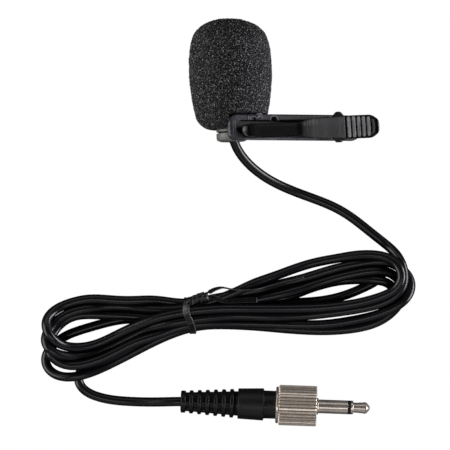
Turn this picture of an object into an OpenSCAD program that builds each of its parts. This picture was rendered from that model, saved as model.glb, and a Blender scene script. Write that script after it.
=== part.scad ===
// Clip-on lavalier microphone: foam windscreen, barrel, tie clip, cord in a hank, locking 3.5 mm plug.
// Units are millimetres. +X runs along the clip towards its finger pad, +Z is up, the table is z = 0.

/* [Microphone barrel] */
// Outside radius of the barrel
barrel_r = 3.95; // [3:0.05:6]
// Inside radius of the barrel
barrel_bore_r = 3.25; // [2.5:0.05:5]
// Rear end of the barrel along the microphone's axis
barrel_back = -2.9; // [-6:0.1:-1]
// Front end of the barrel tube
barrel_front = 12.5; // [8:0.1:20]
// Thickness of the rear cap's flange
cap_t = 0.85; // [0.4:0.05:2]
// Length of the bezel at the head
bezel_len = 1.5; // [0.8:0.1:3]
// Radius of the electret can
capsule_r = 3.0; // [2:0.05:3.2]

/* [Windscreen] */
// Scale of the foam's radius
foam_k = 1.0; // [0.8:0.01:1.3]
// Radial running clearance of the foam and of the clip's ring on the barrel
run_gap = 0.05; // [0.02:0.01:0.1]

/* [Clip] */
// Half width of the lower jaw
jaw_hw = 3.25; // [2.5:0.05:5]
// Half width of the upper jaw's neck
neck_hw = 1.8; // [1:0.05:3]
// Distance from the microphone's axis to the hinge pin
pin_x = 26.6; // [20:0.1:32]
// Height of the hinge pin above the microphone's axis
pin_h = 7.6; // [6:0.1:10]
// Radius of the hinge pin
pin_r = 0.75; // [0.5:0.05:1.2]
// Number of ribs on the finger pad
pad_ribs = 6; // [3:1:8]

/* [Cord] */
// Diameter of the cable
cable_d = 2.4; // [1.5:0.1:4]
// Height of the gathered hank
hank_h = 6.6; // [4:0.1:10]

/* [Plug] */
// Number of ribs on the strain relief
boot_ribs = 7; // [4:1:10]
// Outside radius of the locking nut
nut_r = 5.15; // [4.5:0.05:6.5]
// Number of knurls on the locking nut
knurls = 36; // [16:1:40]
// Radius of the plug's sleeve
sleeve_r = 1.75; // [1.7:0.01:1.8]
// Radius of the rod to the tip
rod_r = 0.6; // [0.4:0.05:0.8]

/* [Hidden] */
$fn = 48;
eps = 0.01;

// half width of the tray's hollow and of the lever's hinge lugs
hollow_hw = 1.67;
lug_hw = 1.55;

// ---- how the pieces lie ----
// The microphone lies on its foam, held up at the barrel by its cable; the clip leans over until its tail
// touches the table. mic_p is a point on the microphone's axis near the middle of the clip's width.
mic_p = [-13.3, -11.9, 11.27];
mic_yaw = 1.5;
mic_pitch = -2.8;
clip_roll = 28.4;
// Middle of the clip's width along the barrel
clip_y = -0.5;
// The upper jaw sits askew on its pin by this angle, seen from above
lever_skew = 2.25;
// The plug lies level on its nut, which holds the boot clear of the table; plug_p is the boot's cable end on its axis.
plug_p = [-26.27, -81.43, 4.96];
plug_yaw = -2;
plug_tilt = 0.5;

module at_mic() translate(mic_p) rotate([0, 0, mic_yaw]) rotate([mic_pitch, 0, 0]) children();
module at_clip() at_mic() rotate([0, clip_roll, 0]) translate([0, clip_y, 0]) children();
module at_plug() translate(plug_p) rotate([0, 0, plug_yaw]) rotate([0, -plug_tilt, 0]) children();
// z of the child runs along the microphone's axis, towards the foam
module along_mic(y = 0) at_mic() translate([0, y, 0]) rotate([-90, 0, 0]) children();
// z of the child runs along the plug's axis, towards the tip
module along_plug(u = 0) at_plug() translate([u, 0, 0]) rotate([0, 90, 0]) children();
module tube(r, b, h) difference() { cylinder(r = r, h = h); translate([0, 0, -eps]) cylinder(r = b, h = h + 2 * eps); }

// ---- microphone ----
module mic_housing() color([0.42, 0.41, 0.40]) along_mic()
  rotate_extrude() polygon([
    [barrel_bore_r, barrel_back], [barrel_r, barrel_back],
    [barrel_r, -1.5], [barrel_r - 0.2, -1.45], [barrel_r - 0.2, -1.22], [barrel_r, -1.17],
    [barrel_r, barrel_front], [barrel_bore_r, barrel_front]]);

module mic_end_cap() color([0.36, 0.35, 0.34]) along_mic(barrel_back - cap_t)
  rotate_extrude() polygon([
    [1.2, 0], [barrel_r - 0.75, 0], [barrel_r - 0.35, 0.1], [barrel_r - 0.1, 0.35], [barrel_r, 0.7],
    [barrel_r, cap_t], [barrel_bore_r, cap_t], [barrel_bore_r, cap_t + 1.4],
    [barrel_bore_r - 0.9, cap_t + 1.4], [barrel_bore_r - 0.9, cap_t + 0.3], [1.2, cap_t + 0.3]]);

module mic_front_ring() color([0.42, 0.41, 0.40]) along_mic(barrel_front)
  rotate_extrude() polygon([
    [2.9, 0], [barrel_r, 0], [barrel_r, bezel_len - 0.45], [barrel_r - 0.45, bezel_len],
    [3.1, bezel_len], [2.9, bezel_len - 0.2]]);

module mic_grille() color([0.3, 0.3, 0.3]) along_mic(barrel_front + 0.5)
  difference() {
    cylinder(r = 2.9, h = 0.3);
    for (a = [0 : 60 : 359]) rotate(a) translate([1.5, 0, -eps]) cylinder(r = 0.35, h = 0.4);
    translate([0, 0, -eps]) cylinder(r = 0.35, h = 0.4);
  }

module capsule_felt() color([0.1, 0.1, 0.1]) along_mic(barrel_front) cylinder(r = 2.9, h = 0.5);

module mic_capsule() color([0.75, 0.75, 0.76]) along_mic(barrel_front - 4.2)
  difference() {
    cylinder(r = capsule_r, h = 4.2);
    translate([0, 0, 4.0]) cylinder(r = 0.5, h = 0.3);
  }

module capsule_gasket() color([0.08, 0.08, 0.08]) along_mic(barrel_front - 3.8) tube(barrel_bore_r, capsule_r, 3.4);

module capsule_board() color([0.1, 0.35, 0.18]) along_mic(barrel_front - 5.0)
  difference() {
    cylinder(r = 2.85, h = 0.8);
    translate([0, 2.4, -eps]) cylinder(r = 0.35, h = 0.9);
  }

module lead_red() color([0.7, 0.08, 0.06]) along_mic(1.5) translate([0.6, 0, 0]) cylinder(r = 0.35, h = barrel_front - 6.5);
module lead_bare() color([0.75, 0.6, 0.4]) along_mic(1.5) translate([-0.6, 0, 0]) cylinder(r = 0.25, h = barrel_front - 6.5);

module cable_crimp() color([0.75, 0.75, 0.76]) along_mic(-2.6 + eps) tube(1.7, 1.2, 3.2);

// ---- windscreen ----
module windscreen() color([0.16, 0.15, 0.15]) difference() {
  along_mic() rotate_extrude() polygon([
    [barrel_r + run_gap, -0.7], [5.2, -0.7], [6.3, -0.35], [7.1, 0.15], [7.8, 0.75], [8.55, 1.6], [9.05, 2.6],
    [9.4, 4.3], [9.85, 6.8], [10.15, 9.3], [10.42, 11.9], [10.47, 15.0], [10.42, 17.2], [10.16, 19.5],
    [9.7, 22.0], [9.05, 23.6], [8.28, 24.6], [7.5, 25.4], [6.7, 26.0], [5.5, 26.7], [4.1, 27.15], [2.2, 27.45],
    [0, 27.5], [0, 14.6], [barrel_r + run_gap, 14.6]] * foam_k);
  // room for the clip's ring
  along_mic(-1.5) cylinder(r = 5.75, h = 5.2);
  // notch where the foam is pressed back by the clip
  at_clip() translate([-4.6, -4, 3.2]) cube([20, 7.75, 14]);
}

// ---- clip ----
module side(y0, y1) translate([0, y1, 0]) rotate([90, 0, 0]) linear_extrude(y1 - y0) children();

module clip_base() color([0.05, 0.05, 0.055]) at_clip() difference() {
  union() {
    intersection() {
      // side view of the boat-shaped tray
      side(-jaw_hw, jaw_hw) union() {
        polygon([[-4.45, 5.95], [-4.25, 5.55], [-3.75, 5.3], [32.6, 5.3], [33.3, 5.6], [33.5, 6.0], [33.3, 6.45], [32.7, 6.65],
          [pin_x + 3.0, 6.65], [pin_x + 2.0, 7.1], [pin_x + 1.5, pin_h], [pin_x, pin_h], [pin_x - 1.5, pin_h],
          [pin_x - 2.4, 7.75], [19, 7.75], [9, 7.7], [4, 7.45], [0.5, 7.1], [-2.5, 7.0], [-3.95, 6.9], [-4.4, 6.6]]);
        translate([pin_x, pin_h]) circle(r = 1.5);
      }
      // plan view: round nose, round tail
      translate([0, 0, 4]) linear_extrude(8) union() {
        translate([-2.45, -jaw_hw]) square([33.35, 2 * jaw_hw]);
        translate([-4.5, -jaw_hw + 2.05]) square([5, 2 * jaw_hw - 4.1]);
        for (s = [-1, 1]) translate([-2.45, s * (jaw_hw - 2.05)]) circle(r = 2.05);
        translate([30.9, 0]) intersection() { circle(r = jaw_hw); translate([0, -4]) square([4, 8]); }
      }
    }
    // stop for the sliding keeper on the side next to the foam
    translate([3.2, jaw_hw - 0.1, 5.7]) cube([1.6, 0.6, 1.6]);
  }
  // hollow of the tray, round at the nose
  translate([0, 0, 6.1]) linear_extrude(6) union() { translate([-0.83, -hollow_hw]) square([31.73, 2 * hollow_hw]); translate([-0.83, 0]) circle(r = hollow_hw); }
  // notch and arch in the rim next to the foam
  translate([1.7, 1.5, 6.7]) cube([1.3, 0.95, 2]);
  translate([7.95, 1.7, 6.7]) cylinder(r = 0.8, h = 2);
  // teeth in the nose of the tray
  for (i = [0 : 2]) translate([-4.0 + i * 0.5, -1.6, 6.75]) cube([0.25, 3.2, 1]);
  // pin holes
  side(-5, 5) translate([pin_x, pin_h]) circle(r = pin_r);
}

module clip_holder_ring() color([0.05, 0.05, 0.055]) at_clip() difference() {
  union() {
    side(-0.1, 3.6) circle(r = 5.2);
    side(-0.1, 3.2) polygon([[-3, 4], [3, 4], [3, 5.3], [-3, 5.3]]);
  }
  side(-1, 4.4) circle(r = barrel_r + run_gap);
  side(-1, 4.4) polygon([[0, 0], [-4.2, -8], [4.2, -8]]);
}

// turns the upper jaw's arm a little round its pin, seen from above
module skewed() translate([pin_x, -0.1, 0]) rotate([0, 0, lever_skew]) translate([-pin_x, 0, 0]) children();

module clip_lever() color([0.05, 0.05, 0.055]) at_clip() difference() {
  union() {
    // neck and round nose
    skewed() intersection() {
      side(-neck_hw, neck_hw) polygon([[-1.4, 7.45], [-1.15, 7.2], [1.1, 7.2], [1.9, 7.7], [4, 8.15], [14, 8.6], [22, 9.0],
        [pin_x - 2.0, 9.25], [pin_x, 9.25], [30.4, 9.75], [30.4, 10.3], [pin_x, 10.25], [14.2, 9.95], [6, 9.6], [3, 9.35], [1.2, 8.95], [-0.1, 8.4], [-1.1, 7.85]]);
      translate([0, 0, 6]) linear_extrude(6) union() { translate([neck_hw - 1.4, 0]) circle(r = neck_hw); translate([neck_hw - 1.4, -neck_hw]) square([32, 2 * neck_hw]); }
    }
    // hinge lugs
    for (s = [-1, 1]) side(s > 0 ? 1.0 : -lug_hw, s > 0 ? lug_hw : -1.0)
      union() { translate([pin_x, pin_h]) circle(r = 1.45); polygon([[pin_x - 1.45, pin_h], [pin_x + 1.45, pin_h], [pin_x + 2.2, 9.95], [pin_x - 2.6, 9.95]]); }
    // wide back with the finger pad
    skewed() intersection() {
      side(-3.05, 3.05) polygon([[14.4, 9.35], [15.4, 9.35], [24, 9.45], [pin_x + 2, 9.7], [33.3, 10.35], [35.9, 10.75], [36.35, 11.0], [36.5, 11.4],
        [36.15, 11.75], [35.7, 11.8], [35.3, 11.5], [27.3, 10.55], [27.1, 10.55], [27.0, 10.95], [26.45, 11.15], [20, 11.0], [16.4, 10.75], [15.0, 10.45], [14.4, 10.0]]);
      translate([0, 0, 8]) linear_extrude(6) polygon([[14.4, -1.2], [14.9, -1.75], [16.2, -2.15], [17.4, -2.45], [20, -2.7], [24.5, -2.83], [27, -2.97], [33.5, -2.97],
        [34.4, -2.83], [35.2, -2.45], [35.9, -1.8], [36.35, -0.95], [36.5, 0], [36.35, 0.95], [35.9, 1.8], [35.2, 2.45], [34.4, 2.83], [33.5, 2.97],
        [27, 2.97], [24.5, 2.83], [20, 2.7], [17.4, 2.45], [16.2, 2.15], [14.9, 1.75], [14.4, 1.2]]);
    }
    // ribs of the finger pad
    skewed() intersection() {
      union() for (i = [0 : pad_ribs - 1])
        side(-2.75, 2.75) translate([27.2 + i * 1.35, 10.54 + i * 0.155]) polygon([[0, 0], [0.1, 0.55], [0.28, 0.7], [0.62, 0.72], [0.82, 0.6], [0.94, 0.1]]);
      translate([0, 0, 8]) linear_extrude(6) union() { translate([27, -2.75]) square([6.35, 5.5]); translate([33.35, 0]) circle(r = 2.75); }
    }
  }
  side(-5, 5) translate([pin_x, pin_h]) circle(r = pin_r + run_gap);
  // teeth under the nose
  skewed() for (i = [0 : 1]) translate([-0.5 + i * 0.62, -2, 6.7]) cube([0.28, 4, 0.75]);
}

module clip_hinge_pin() color([0.62, 0.6, 0.56]) at_clip() translate([pin_x, 0, pin_h]) rotate([-90, 0, 0])
  rotate_extrude() polygon([
    [0, -jaw_hw - 0.45], [0.8, -jaw_hw - 0.45], [0.95, -jaw_hw - 0.3], [0.95, -jaw_hw], [pin_r, -jaw_hw],
    [pin_r, jaw_hw], [1.2, jaw_hw], [1.2, jaw_hw + 0.25], [1.05, jaw_hw + 0.5], [0.75, jaw_hw + 0.7], [0.4, jaw_hw + 0.82], [0, jaw_hw + 0.86]]);

spring_w = 0.17;
module clip_spring() color([0.7, 0.68, 0.62]) at_clip() {
  translate([pin_x, 0, pin_h]) rotate([90, 0, 0]) rotate_extrude() polygon(concat([[pin_r + 0.05, -0.8], [pin_r + 0.05 + spring_w, -0.8]],
    [for (i = [0 : 4]) each [[pin_r + 0.05 + 2 * spring_w, -0.72 + i * 0.32], [pin_r + 0.05 + 2 * spring_w, -0.56 + i * 0.32], [pin_r + 0.05 + spring_w, -0.48 + i * 0.32]]],
    [[pin_r + 0.05, 0.8]]));
  // lower leg lies on the tail's floor
  translate([pin_x, 0.6, pin_h - pin_r - 0.05 - spring_w]) rotate([0, 95, 0]) cylinder(r = spring_w, h = 4.0);
}

// the spring's upper leg presses under the finger pad and goes with the lever
module clip_spring_leg() color([0.7, 0.68, 0.62]) at_clip()
  translate([pin_x + 0.8, -0.6, 9.345 - spring_w / cos(7.5)]) rotate([0, 82.5, 0]) cylinder(r = spring_w, h = 3.6);

// ---- cord ----
function unit(v) = v / norm(v);
function tangent(p, i) = unit(p[min(i + 1, len(p) - 1)] - p[max(i - 1, 0)]);
function ring(p, i, r, n) = let (t = tangent(p, i), a = unit(cross([0, 0, 1], t)), b = cross(t, a))
  [for (k = [0 : n - 1]) p[i] + r * (cos(360 * k / n + 180 / n) * a + sin(360 * k / n + 180 / n) * b)];
module swept(p, r, n = 8) polyhedron(
  points = [for (i = [0 : len(p) - 1]) each ring(p, i, r, n)],
  faces = concat([[for (k = [0 : n - 1]) k]],
    [for (i = [0 : len(p) - 2]) for (k = [0 : n - 1]) [i * n + k, (i + 1) * n + k, (i + 1) * n + (k + 1) % n, i * n + (k + 1) % n]],
    [[for (k = [n - 1 : -1 : 0]) (len(p) - 1) * n + k]]));

// a point on the microphone's axis
function mic_at(y) = mic_p + y * [-sin(mic_yaw) * cos(mic_pitch), cos(mic_yaw) * cos(mic_pitch), sin(mic_pitch)];
// a point on the plug's axis
function plug_at(u) = plug_p + u * [cos(plug_yaw) * cos(plug_tilt), sin(plug_yaw) * cos(plug_tilt), sin(plug_tilt)];

lead_route = concat([mic_at(1.5), mic_at(-1.5), mic_at(-3.8), mic_at(-5)], [
  [-11.7, -18.4, 10.2], [-10.3, -20.6, 8.7], [-8.2, -22.6, 7.0], [-5.2, -24.6, 5.2], [-1.2, -26.5, 3.6], [3, -28.3, 2.3], [8, -30.2, 1.45],
  [13, -32.0, 1.25], [18, -35.2, 1.25], [22, -38.6, 1.8], [25.5, -41.6, 3.2], [28.4, -44.4, 4.6], [29.4, -47.2, 5.0]]);
module cable_lead() color([0.09, 0.09, 0.095]) swept(lead_route, cable_d / 2);

tail_route = concat([[-52, -72.5, 1.6], [-52.6, -75.4, 1.3], [-51.2, -78.2, 1.25], [-48.3, -80.1, 1.25], [-44.6, -81.2, 1.35], [-40.8, -81.6, 1.85],
  [-37.4, -81.6, 2.7], [-34.0, -81.6, 3.75]], [plug_at(-4.4) - [0, 0, 0.32], plug_at(-1.5) - [0, 0, 0.03], plug_at(2), plug_at(9), plug_at(18.2)]);
module cable_tail() color([0.09, 0.09, 0.095]) swept(tail_route, cable_d / 2);

band_x = -24.6;
band_w = 1.4;
band_t = 0.5;
band_y0 = -64.3;
band_y1 = -55.5;
module cable_hank() color([0.09, 0.09, 0.095]) difference() {
  // outline of the gathered loops: left lobe, then round the right lobe
  linear_extrude(hank_h) polygon([[-24, -63.3], [-28.5, -65], [-33, -66.9], [-37.5, -69.5], [-41.5, -72], [-47.5, -75], [-52, -76.4], [-55.8, -76.6],
    [-58.6, -75.8], [-60.8, -74], [-61.9, -71.4], [-61.9, -67], [-61.5, -63], [-60, -59.6], [-57.4, -56.6], [-54, -55.1], [-48, -54.5], [-36, -54.8],
    [-24, -55.8], [-21.4, -55.7], [-15, -53.2], [-11.2, -52.0], [-5, -49.4], [4, -46.3], [12, -44.2], [17, -43.4], [23, -43.3], [27.5, -44.3],
    [30.4, -46.3], [32.4, -49], [33.3, -52], [32.7, -55.5], [30.4, -59.2], [26.8, -61.6], [16.7, -64.1], [9.0, -64.8], [-8, -64.2], [-21, -63.3]]);
  // channel the tie's band lies in
  difference() {
    translate([band_x, -70, -1]) cube([band_w, 20, hank_h + 2]);
    translate([band_x - 1, band_y0 + band_t, band_t]) cube([band_w + 2, band_y1 - band_y0 - 2 * band_t, hank_h - band_t + 1]);
  }
}

module cable_tie() color([0.05, 0.05, 0.05]) {
  difference() {
    translate([band_x, band_y0, 0]) cube([band_w, band_y1 - band_y0, hank_h + band_t]);
    translate([band_x - 1, band_y0 + band_t, band_t]) cube([band_w + 2, band_y1 - band_y0 - 2 * band_t, hank_h - band_t]);
  }
  // twisted knot
  translate([-23.2, -56.6, hank_h]) linear_extrude(1.4) union() { square([2.6, 1.1]); translate([2.6, 0.55]) circle(r = 0.8); circle(r = 0.8); }
  // the two tails
  translate([0, 0, hank_h]) linear_extrude(0.5) polygon([[-21, -55.5], [-18.3, -53.0], [-16.4, -52.5], [-14.2, -52.7], [-6.2, -52.3], [4.9, -49.4],
    [5.1, -50.5], [-6.1, -53.5], [-14.2, -54.0], [-16.2, -53.9], [-17.6, -54.4], [-20, -56.6]]);
  translate([0, 0, hank_h]) linear_extrude(0.5) polygon([[-20.5, -55.6], [-17.6, -55.4], [-15.8, -55.2], [-7, -55.0], [-7, -56.2], [-15.8, -56.4],
    [-17.8, -56.6], [-20.5, -56.7]]);
}

// ---- plug ----
rib_u = [for (i = [0 : boot_ribs - 1]) 0.65 + i * 12.3 / (boot_ribs - 1)];
function rib_r(u) = 2.78 + u * 0.067;
function valley_r(u) = 2.38 + u * 0.055;
module strain_relief_boot() color([0.06, 0.06, 0.065]) along_plug() difference() {
  rotate_extrude() polygon(concat([[1.2, 0]],
    [for (u = rib_u) each [[valley_r(u), u - 0.62], [rib_r(u) - 0.12, u - 0.5], [rib_r(u), u - 0.35], [rib_r(u), u + 0.35], [rib_r(u) - 0.12, u + 0.5], [valley_r(u), u + 0.62]]],
    [[valley_r(14), 14.5], [2.6, 14.5], [2.6, 16.5], [1.2, 16.5]]));
  // flex slots between the ribs, turned a quarter each time
  for (i = [0 : boot_ribs - 2]) rotate(i % 2 * 90) for (s = [-1, 1])
    translate([s * 2.5 - 0.6, -1.5, (rib_u[i] + rib_u[i + 1]) / 2 - 0.42]) cube([1.2, 3.0, 0.84]);
}

module plug_handle() color([0.07, 0.07, 0.075]) along_plug()
  rotate_extrude() polygon([
    [2.6, 14.5], [3.5, 14.5], [3.75, 14.65], [3.85, 14.9], [4.05, 20.6], [3.98, 20.95], [3.75, 21.15], [3.55, 21.3],
    [3.55, 24.1], [2.0, 24.1], [2.0, 22.0], [2.6, 22.0]]);

module plug_body() color([0.78, 0.76, 0.72]) along_plug()
  rotate_extrude() polygon([
    [1.15, 22.0], [2.0, 22.0], [2.0, 24.1], [4.35, 24.1], [4.65, 24.3], [4.65, 24.6], [4.5, 24.8], [2.6, 24.8], [2.6, 33.9], [1.15, 33.9]]);

nut_u0 = 24.95;
nut_u1 = 34.5;
module locking_nut() color([0.8, 0.78, 0.74]) along_plug() intersection() {
  difference() {
    translate([0, 0, nut_u0]) linear_extrude(nut_u1 - nut_u0)
      polygon([for (i = [0 : knurls - 1]) each [
        for (q = [[0, nut_r - 0.32], [0.28, nut_r], [0.62, nut_r], [0.9, nut_r - 0.32]])
          let (a = 360 * (i + q[0]) / knurls) q[1] * [cos(a), sin(a)]]]);
    translate([0, 0, nut_u0 - 1]) cylinder(r = 2.6 + run_gap, h = 4);
    // internal thread of the nut
    rotate_extrude() polygon(concat([[0, 27.0], [3.6, 27.0]],
      [for (i = [0 : 7]) each [[3.6, 28.0 + i * 0.75], [3.85, 28.3 + i * 0.75], [3.85, 28.45 + i * 0.75], [3.6, 28.75 + i * 0.75]]],
      [[3.6, 34.0], [4.1, 34.6], [0, 34.6]]));
  }
  rotate_extrude() polygon([[0, nut_u0], [nut_r - 0.3, nut_u0], [nut_r, nut_u0 + 0.3], [nut_r, nut_u1 - 0.6], [nut_r - 0.25, nut_u1 - 0.2],
    [nut_r - 0.65, nut_u1], [0, nut_u1]]);
}

module nut_retainer() color([0.6, 0.58, 0.55]) along_plug(27.3) tube(3.2, 2.6, 0.5);
module sleeve_contact() color([0.82, 0.8, 0.76]) along_plug(33.9) tube(sleeve_r, 1.15, 8.5);
module insulator_ring() color([0.03, 0.03, 0.03]) along_plug(42.4) tube(sleeve_r, rod_r, 0.8);
module tip_contact() color([0.82, 0.8, 0.76]) along_plug(43.2)
  rotate_extrude() polygon([[0, 0], [1.75, 0], [1.75, 0.45], [1.28, 0.65], [1.29, 1.4], [1.4, 3.0], [1.5, 3.55], [1.32, 3.95], [0.72, 4.5], [0.38, 4.73], [0, 4.78]]);
module tip_rod() color([0.75, 0.6, 0.3]) along_plug(20.5) cylinder(r = rod_r, h = 22.7);
module core_insulator() color([0.85, 0.83, 0.78]) along_plug(21.5) tube(1.15, rod_r, 20.9);
module sleeve_terminal() color([0.75, 0.73, 0.68]) along_plug() {
  translate([0, 0, 21.5]) tube(2.0, 1.15, 0.5);
  translate([-0.6, -1.9, 16.6]) cube([1.2, 0.6, 5.0]);
  translate([0, 0, 16.6]) tube(1.5, 1.2, 1.4);
}
module tip_terminal() color([0.75, 0.6, 0.3]) along_plug(20.5) tube(1.1, rod_r, 0.5);
module tip_wire() color([0.7, 0.08, 0.06]) along_plug(18.2) cylinder(r = 0.4, h = 2.3);

mic_housing();
mic_end_cap();
mic_front_ring();
mic_grille();
capsule_felt();
mic_capsule();
capsule_gasket();
capsule_board();
lead_red();
lead_bare();
cable_crimp();
windscreen();
clip_base();
clip_holder_ring();
clip_lever();
clip_hinge_pin();
clip_spring();
clip_spring_leg();
cable_lead();
cable_hank();
cable_tail();
cable_tie();
strain_relief_boot();
plug_handle();
plug_body();
locking_nut();
nut_retainer();
sleeve_contact();
insulator_ring();
tip_contact();
tip_rod();
core_insulator();
sleeve_terminal();
tip_terminal();
tip_wire();
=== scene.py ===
import math

import bmesh
import bpy
import numpy as np
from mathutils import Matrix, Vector, noise


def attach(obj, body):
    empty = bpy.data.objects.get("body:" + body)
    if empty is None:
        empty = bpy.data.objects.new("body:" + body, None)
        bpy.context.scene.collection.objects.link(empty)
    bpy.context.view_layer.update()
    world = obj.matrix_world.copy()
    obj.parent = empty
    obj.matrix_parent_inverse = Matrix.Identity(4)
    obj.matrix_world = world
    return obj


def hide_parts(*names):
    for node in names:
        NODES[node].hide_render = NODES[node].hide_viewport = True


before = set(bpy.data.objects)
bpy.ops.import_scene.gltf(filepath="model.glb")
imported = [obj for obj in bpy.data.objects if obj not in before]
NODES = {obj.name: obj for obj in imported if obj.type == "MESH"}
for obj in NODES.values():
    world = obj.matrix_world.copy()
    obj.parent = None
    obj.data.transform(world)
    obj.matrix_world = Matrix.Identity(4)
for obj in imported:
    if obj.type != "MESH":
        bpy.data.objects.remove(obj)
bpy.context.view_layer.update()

# ------------------------------------------------------------------ frames
MM = 0.001
MIC_P = np.array([-13.3, -11.9, 11.27])
MIC_YAW, MIC_PITCH, CLIP_ROLL = math.radians(1.5), math.radians(-2.8), math.radians(28.4)
CLIP_Y = -0.5
PLUG_P = np.array([-26.27, -81.43, 4.96])
PLUG_YAW, PLUG_TILT = math.radians(-2), math.radians(0.5)


def rx(a):
    c, s = math.cos(a), math.sin(a)
    return np.array([[1, 0, 0], [0, c, -s], [0, s, c]])


def ry(a):
    c, s = math.cos(a), math.sin(a)
    return np.array([[c, 0, s], [0, 1, 0], [-s, 0, c]])


def rz(a):
    c, s = math.cos(a), math.sin(a)
    return np.array([[c, -s, 0], [s, c, 0], [0, 0, 1]])


M_MIC = rz(MIC_YAW) @ rx(MIC_PITCH)
M_CLIP = M_MIC @ ry(CLIP_ROLL)
M_PLUG = rz(PLUG_YAW) @ ry(-PLUG_TILT)
# columns: where local x, y, z go when local z is the axis of a turned piece
AX_MIC = M_MIC @ np.array([[1, 0, 0], [0, 0, 1], [0, -1, 0]], float)
AX_PLUG = M_PLUG @ np.array([[0, 0, 1], [0, 1, 0], [-1, 0, 0]], float)


def mic_pt(y):
    return MIC_P + M_MIC @ np.array([0, y, 0.0])


def plug_pt(u):
    return PLUG_P + M_PLUG @ np.array([u, 0, 0.0])


# ------------------------------------------------------------------ meshes
def mesh_obj(name, verts, faces, smooth=True, sharp=None, mat=None):
    me = bpy.data.meshes.new(name)
    me.from_pydata([tuple(float(c) * MM for c in v) for v in verts], [], [tuple(int(i) for i in f) for f in faces])
    me.validate()
    me.update()
    ob = bpy.data.objects.new(name, me)
    bpy.context.collection.objects.link(ob)
    if smooth:
        me.shade_smooth()
        if sharp is not None:
            me.set_sharp_from_angle(angle=math.radians(sharp))
    if mat is not None:
        me.materials.append(mat)
    return ob


def fillet(profile, default=0.0):
    """profile: (u, r[, fillet radius]) corners in order; returns a polyline with rounded corners."""
    P = [np.array(p[:2], float) for p in profile]
    R = [p[2] if len(p) > 2 else default for p in profile]
    out = []
    n = len(P)
    for i in range(n):
        if i == 0 or i == n - 1 or R[i] <= 0:
            out.append(P[i])
            continue
        a, b, c = P[i - 1], P[i], P[i + 1]
        d0, d1 = a - b, c - b
        l0, l1 = np.linalg.norm(d0), np.linalg.norm(d1)
        d0, d1 = d0 / l0, d1 / l1
        cosang = float(np.clip(d0 @ d1, -1, 1))
        ang = math.acos(cosang)
        if ang > math.pi - 0.02:
            out.append(b)
            continue
        t = min(R[i] / math.tan(ang / 2), 0.49 * l0, 0.49 * l1)
        r = t * math.tan(ang / 2)
        ctr = b + (d0 + d1) / np.linalg.norm(d0 + d1) * (r / math.sin(ang / 2))
        s, e = b + d0 * t, b + d1 * t
        v0, v1 = s - ctr, e - ctr
        a0, a1 = math.atan2(v0[1], v0[0]), math.atan2(v1[1], v1[0])
        da = (a1 - a0 + math.pi) % (2 * math.pi) - math.pi
        k = max(3, int(abs(da) / 0.3) + 1)
        for j in range(k + 1):
            aa = a0 + da * j / k
            out.append(ctr + r * np.array([math.cos(aa), math.sin(aa)]))
    return np.array(out)


def revolve(name, profile, place, seg=96, mat=None, sharp=35, close=True):
    """profile of (u, r) turned about the axis; place = (origin, 3x3 whose third column is the axis)."""
    org, M = place
    prof = np.asarray(profile, float)
    th = np.linspace(0, 2 * math.pi, seg, endpoint=False)
    verts, rings = [], []
    for u, r in prof:
        if r < 1e-6:
            rings.append([len(verts)])
            verts.append(org + M @ np.array([0, 0, u]))
        else:
            rings.append(list(range(len(verts), len(verts) + seg)))
            for t in th:
                verts.append(org + M @ np.array([r * math.cos(t), r * math.sin(t), u]))
    faces = []
    n = len(rings)
    for i in range(n if close else n - 1):
        a, b = rings[i], rings[(i + 1) % n]
        if len(a) == 1 and len(b) == 1:
            continue
        for k in range(seg):
            k2 = (k + 1) % seg
            if len(a) == 1:
                faces.append((a[0], b[k2], b[k]))
            elif len(b) == 1:
                faces.append((a[k], a[k2], b[0]))
            else:
                faces.append((a[k], a[k2], b[k2], b[k]))
    ob = mesh_obj(name, verts, faces, sharp=sharp, mat=mat)
    outward(ob)
    return ob


def outward(ob):
    bm = bmesh.new()
    bm.from_mesh(ob.data)
    bmesh.ops.recalc_face_normals(bm, faces=bm.faces)
    bm.to_mesh(ob.data)
    bm.free()
    ob.data.update()


def join(name, obs, mat=None):
    for o in bpy.context.selected_objects:
        o.select_set(False)
    for o in obs:
        o.select_set(True)
    bpy.context.view_layer.objects.active = obs[0]
    bpy.ops.object.join()
    ob = obs[0]
    ob.name = name
    ob.data.name = name
    ob.select_set(False)
    return ob


def frames_along(P):
    """tangent and two normals at each point, carried along without twist."""
    T = np.gradient(P, axis=0)
    T /= np.linalg.norm(T, axis=1)[:, None]
    N = np.zeros_like(P)
    up = np.array([0, 0, 1.0])
    n0 = up - (up @ T[0]) * T[0]
    if np.linalg.norm(n0) < 1e-3:
        n0 = np.array([1.0, 0, 0]) - T[0][0] * T[0]
    N[0] = n0 / np.linalg.norm(n0)
    for i in range(1, len(P)):
        v = N[i - 1] - (N[i - 1] @ T[i]) * T[i]
        N[i] = v / np.linalg.norm(v)
    return T, N, np.cross(T, N)


def resample(P, step):
    P = np.asarray(P, float)
    s = np.concatenate([[0], np.cumsum(np.linalg.norm(np.diff(P, axis=0), axis=1))])
    u = np.linspace(0, s[-1], max(int(round(s[-1] / step)), 2) + 1)
    return np.stack([np.interp(u, s, P[:, c]) for c in range(P.shape[1])], 1)


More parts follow.
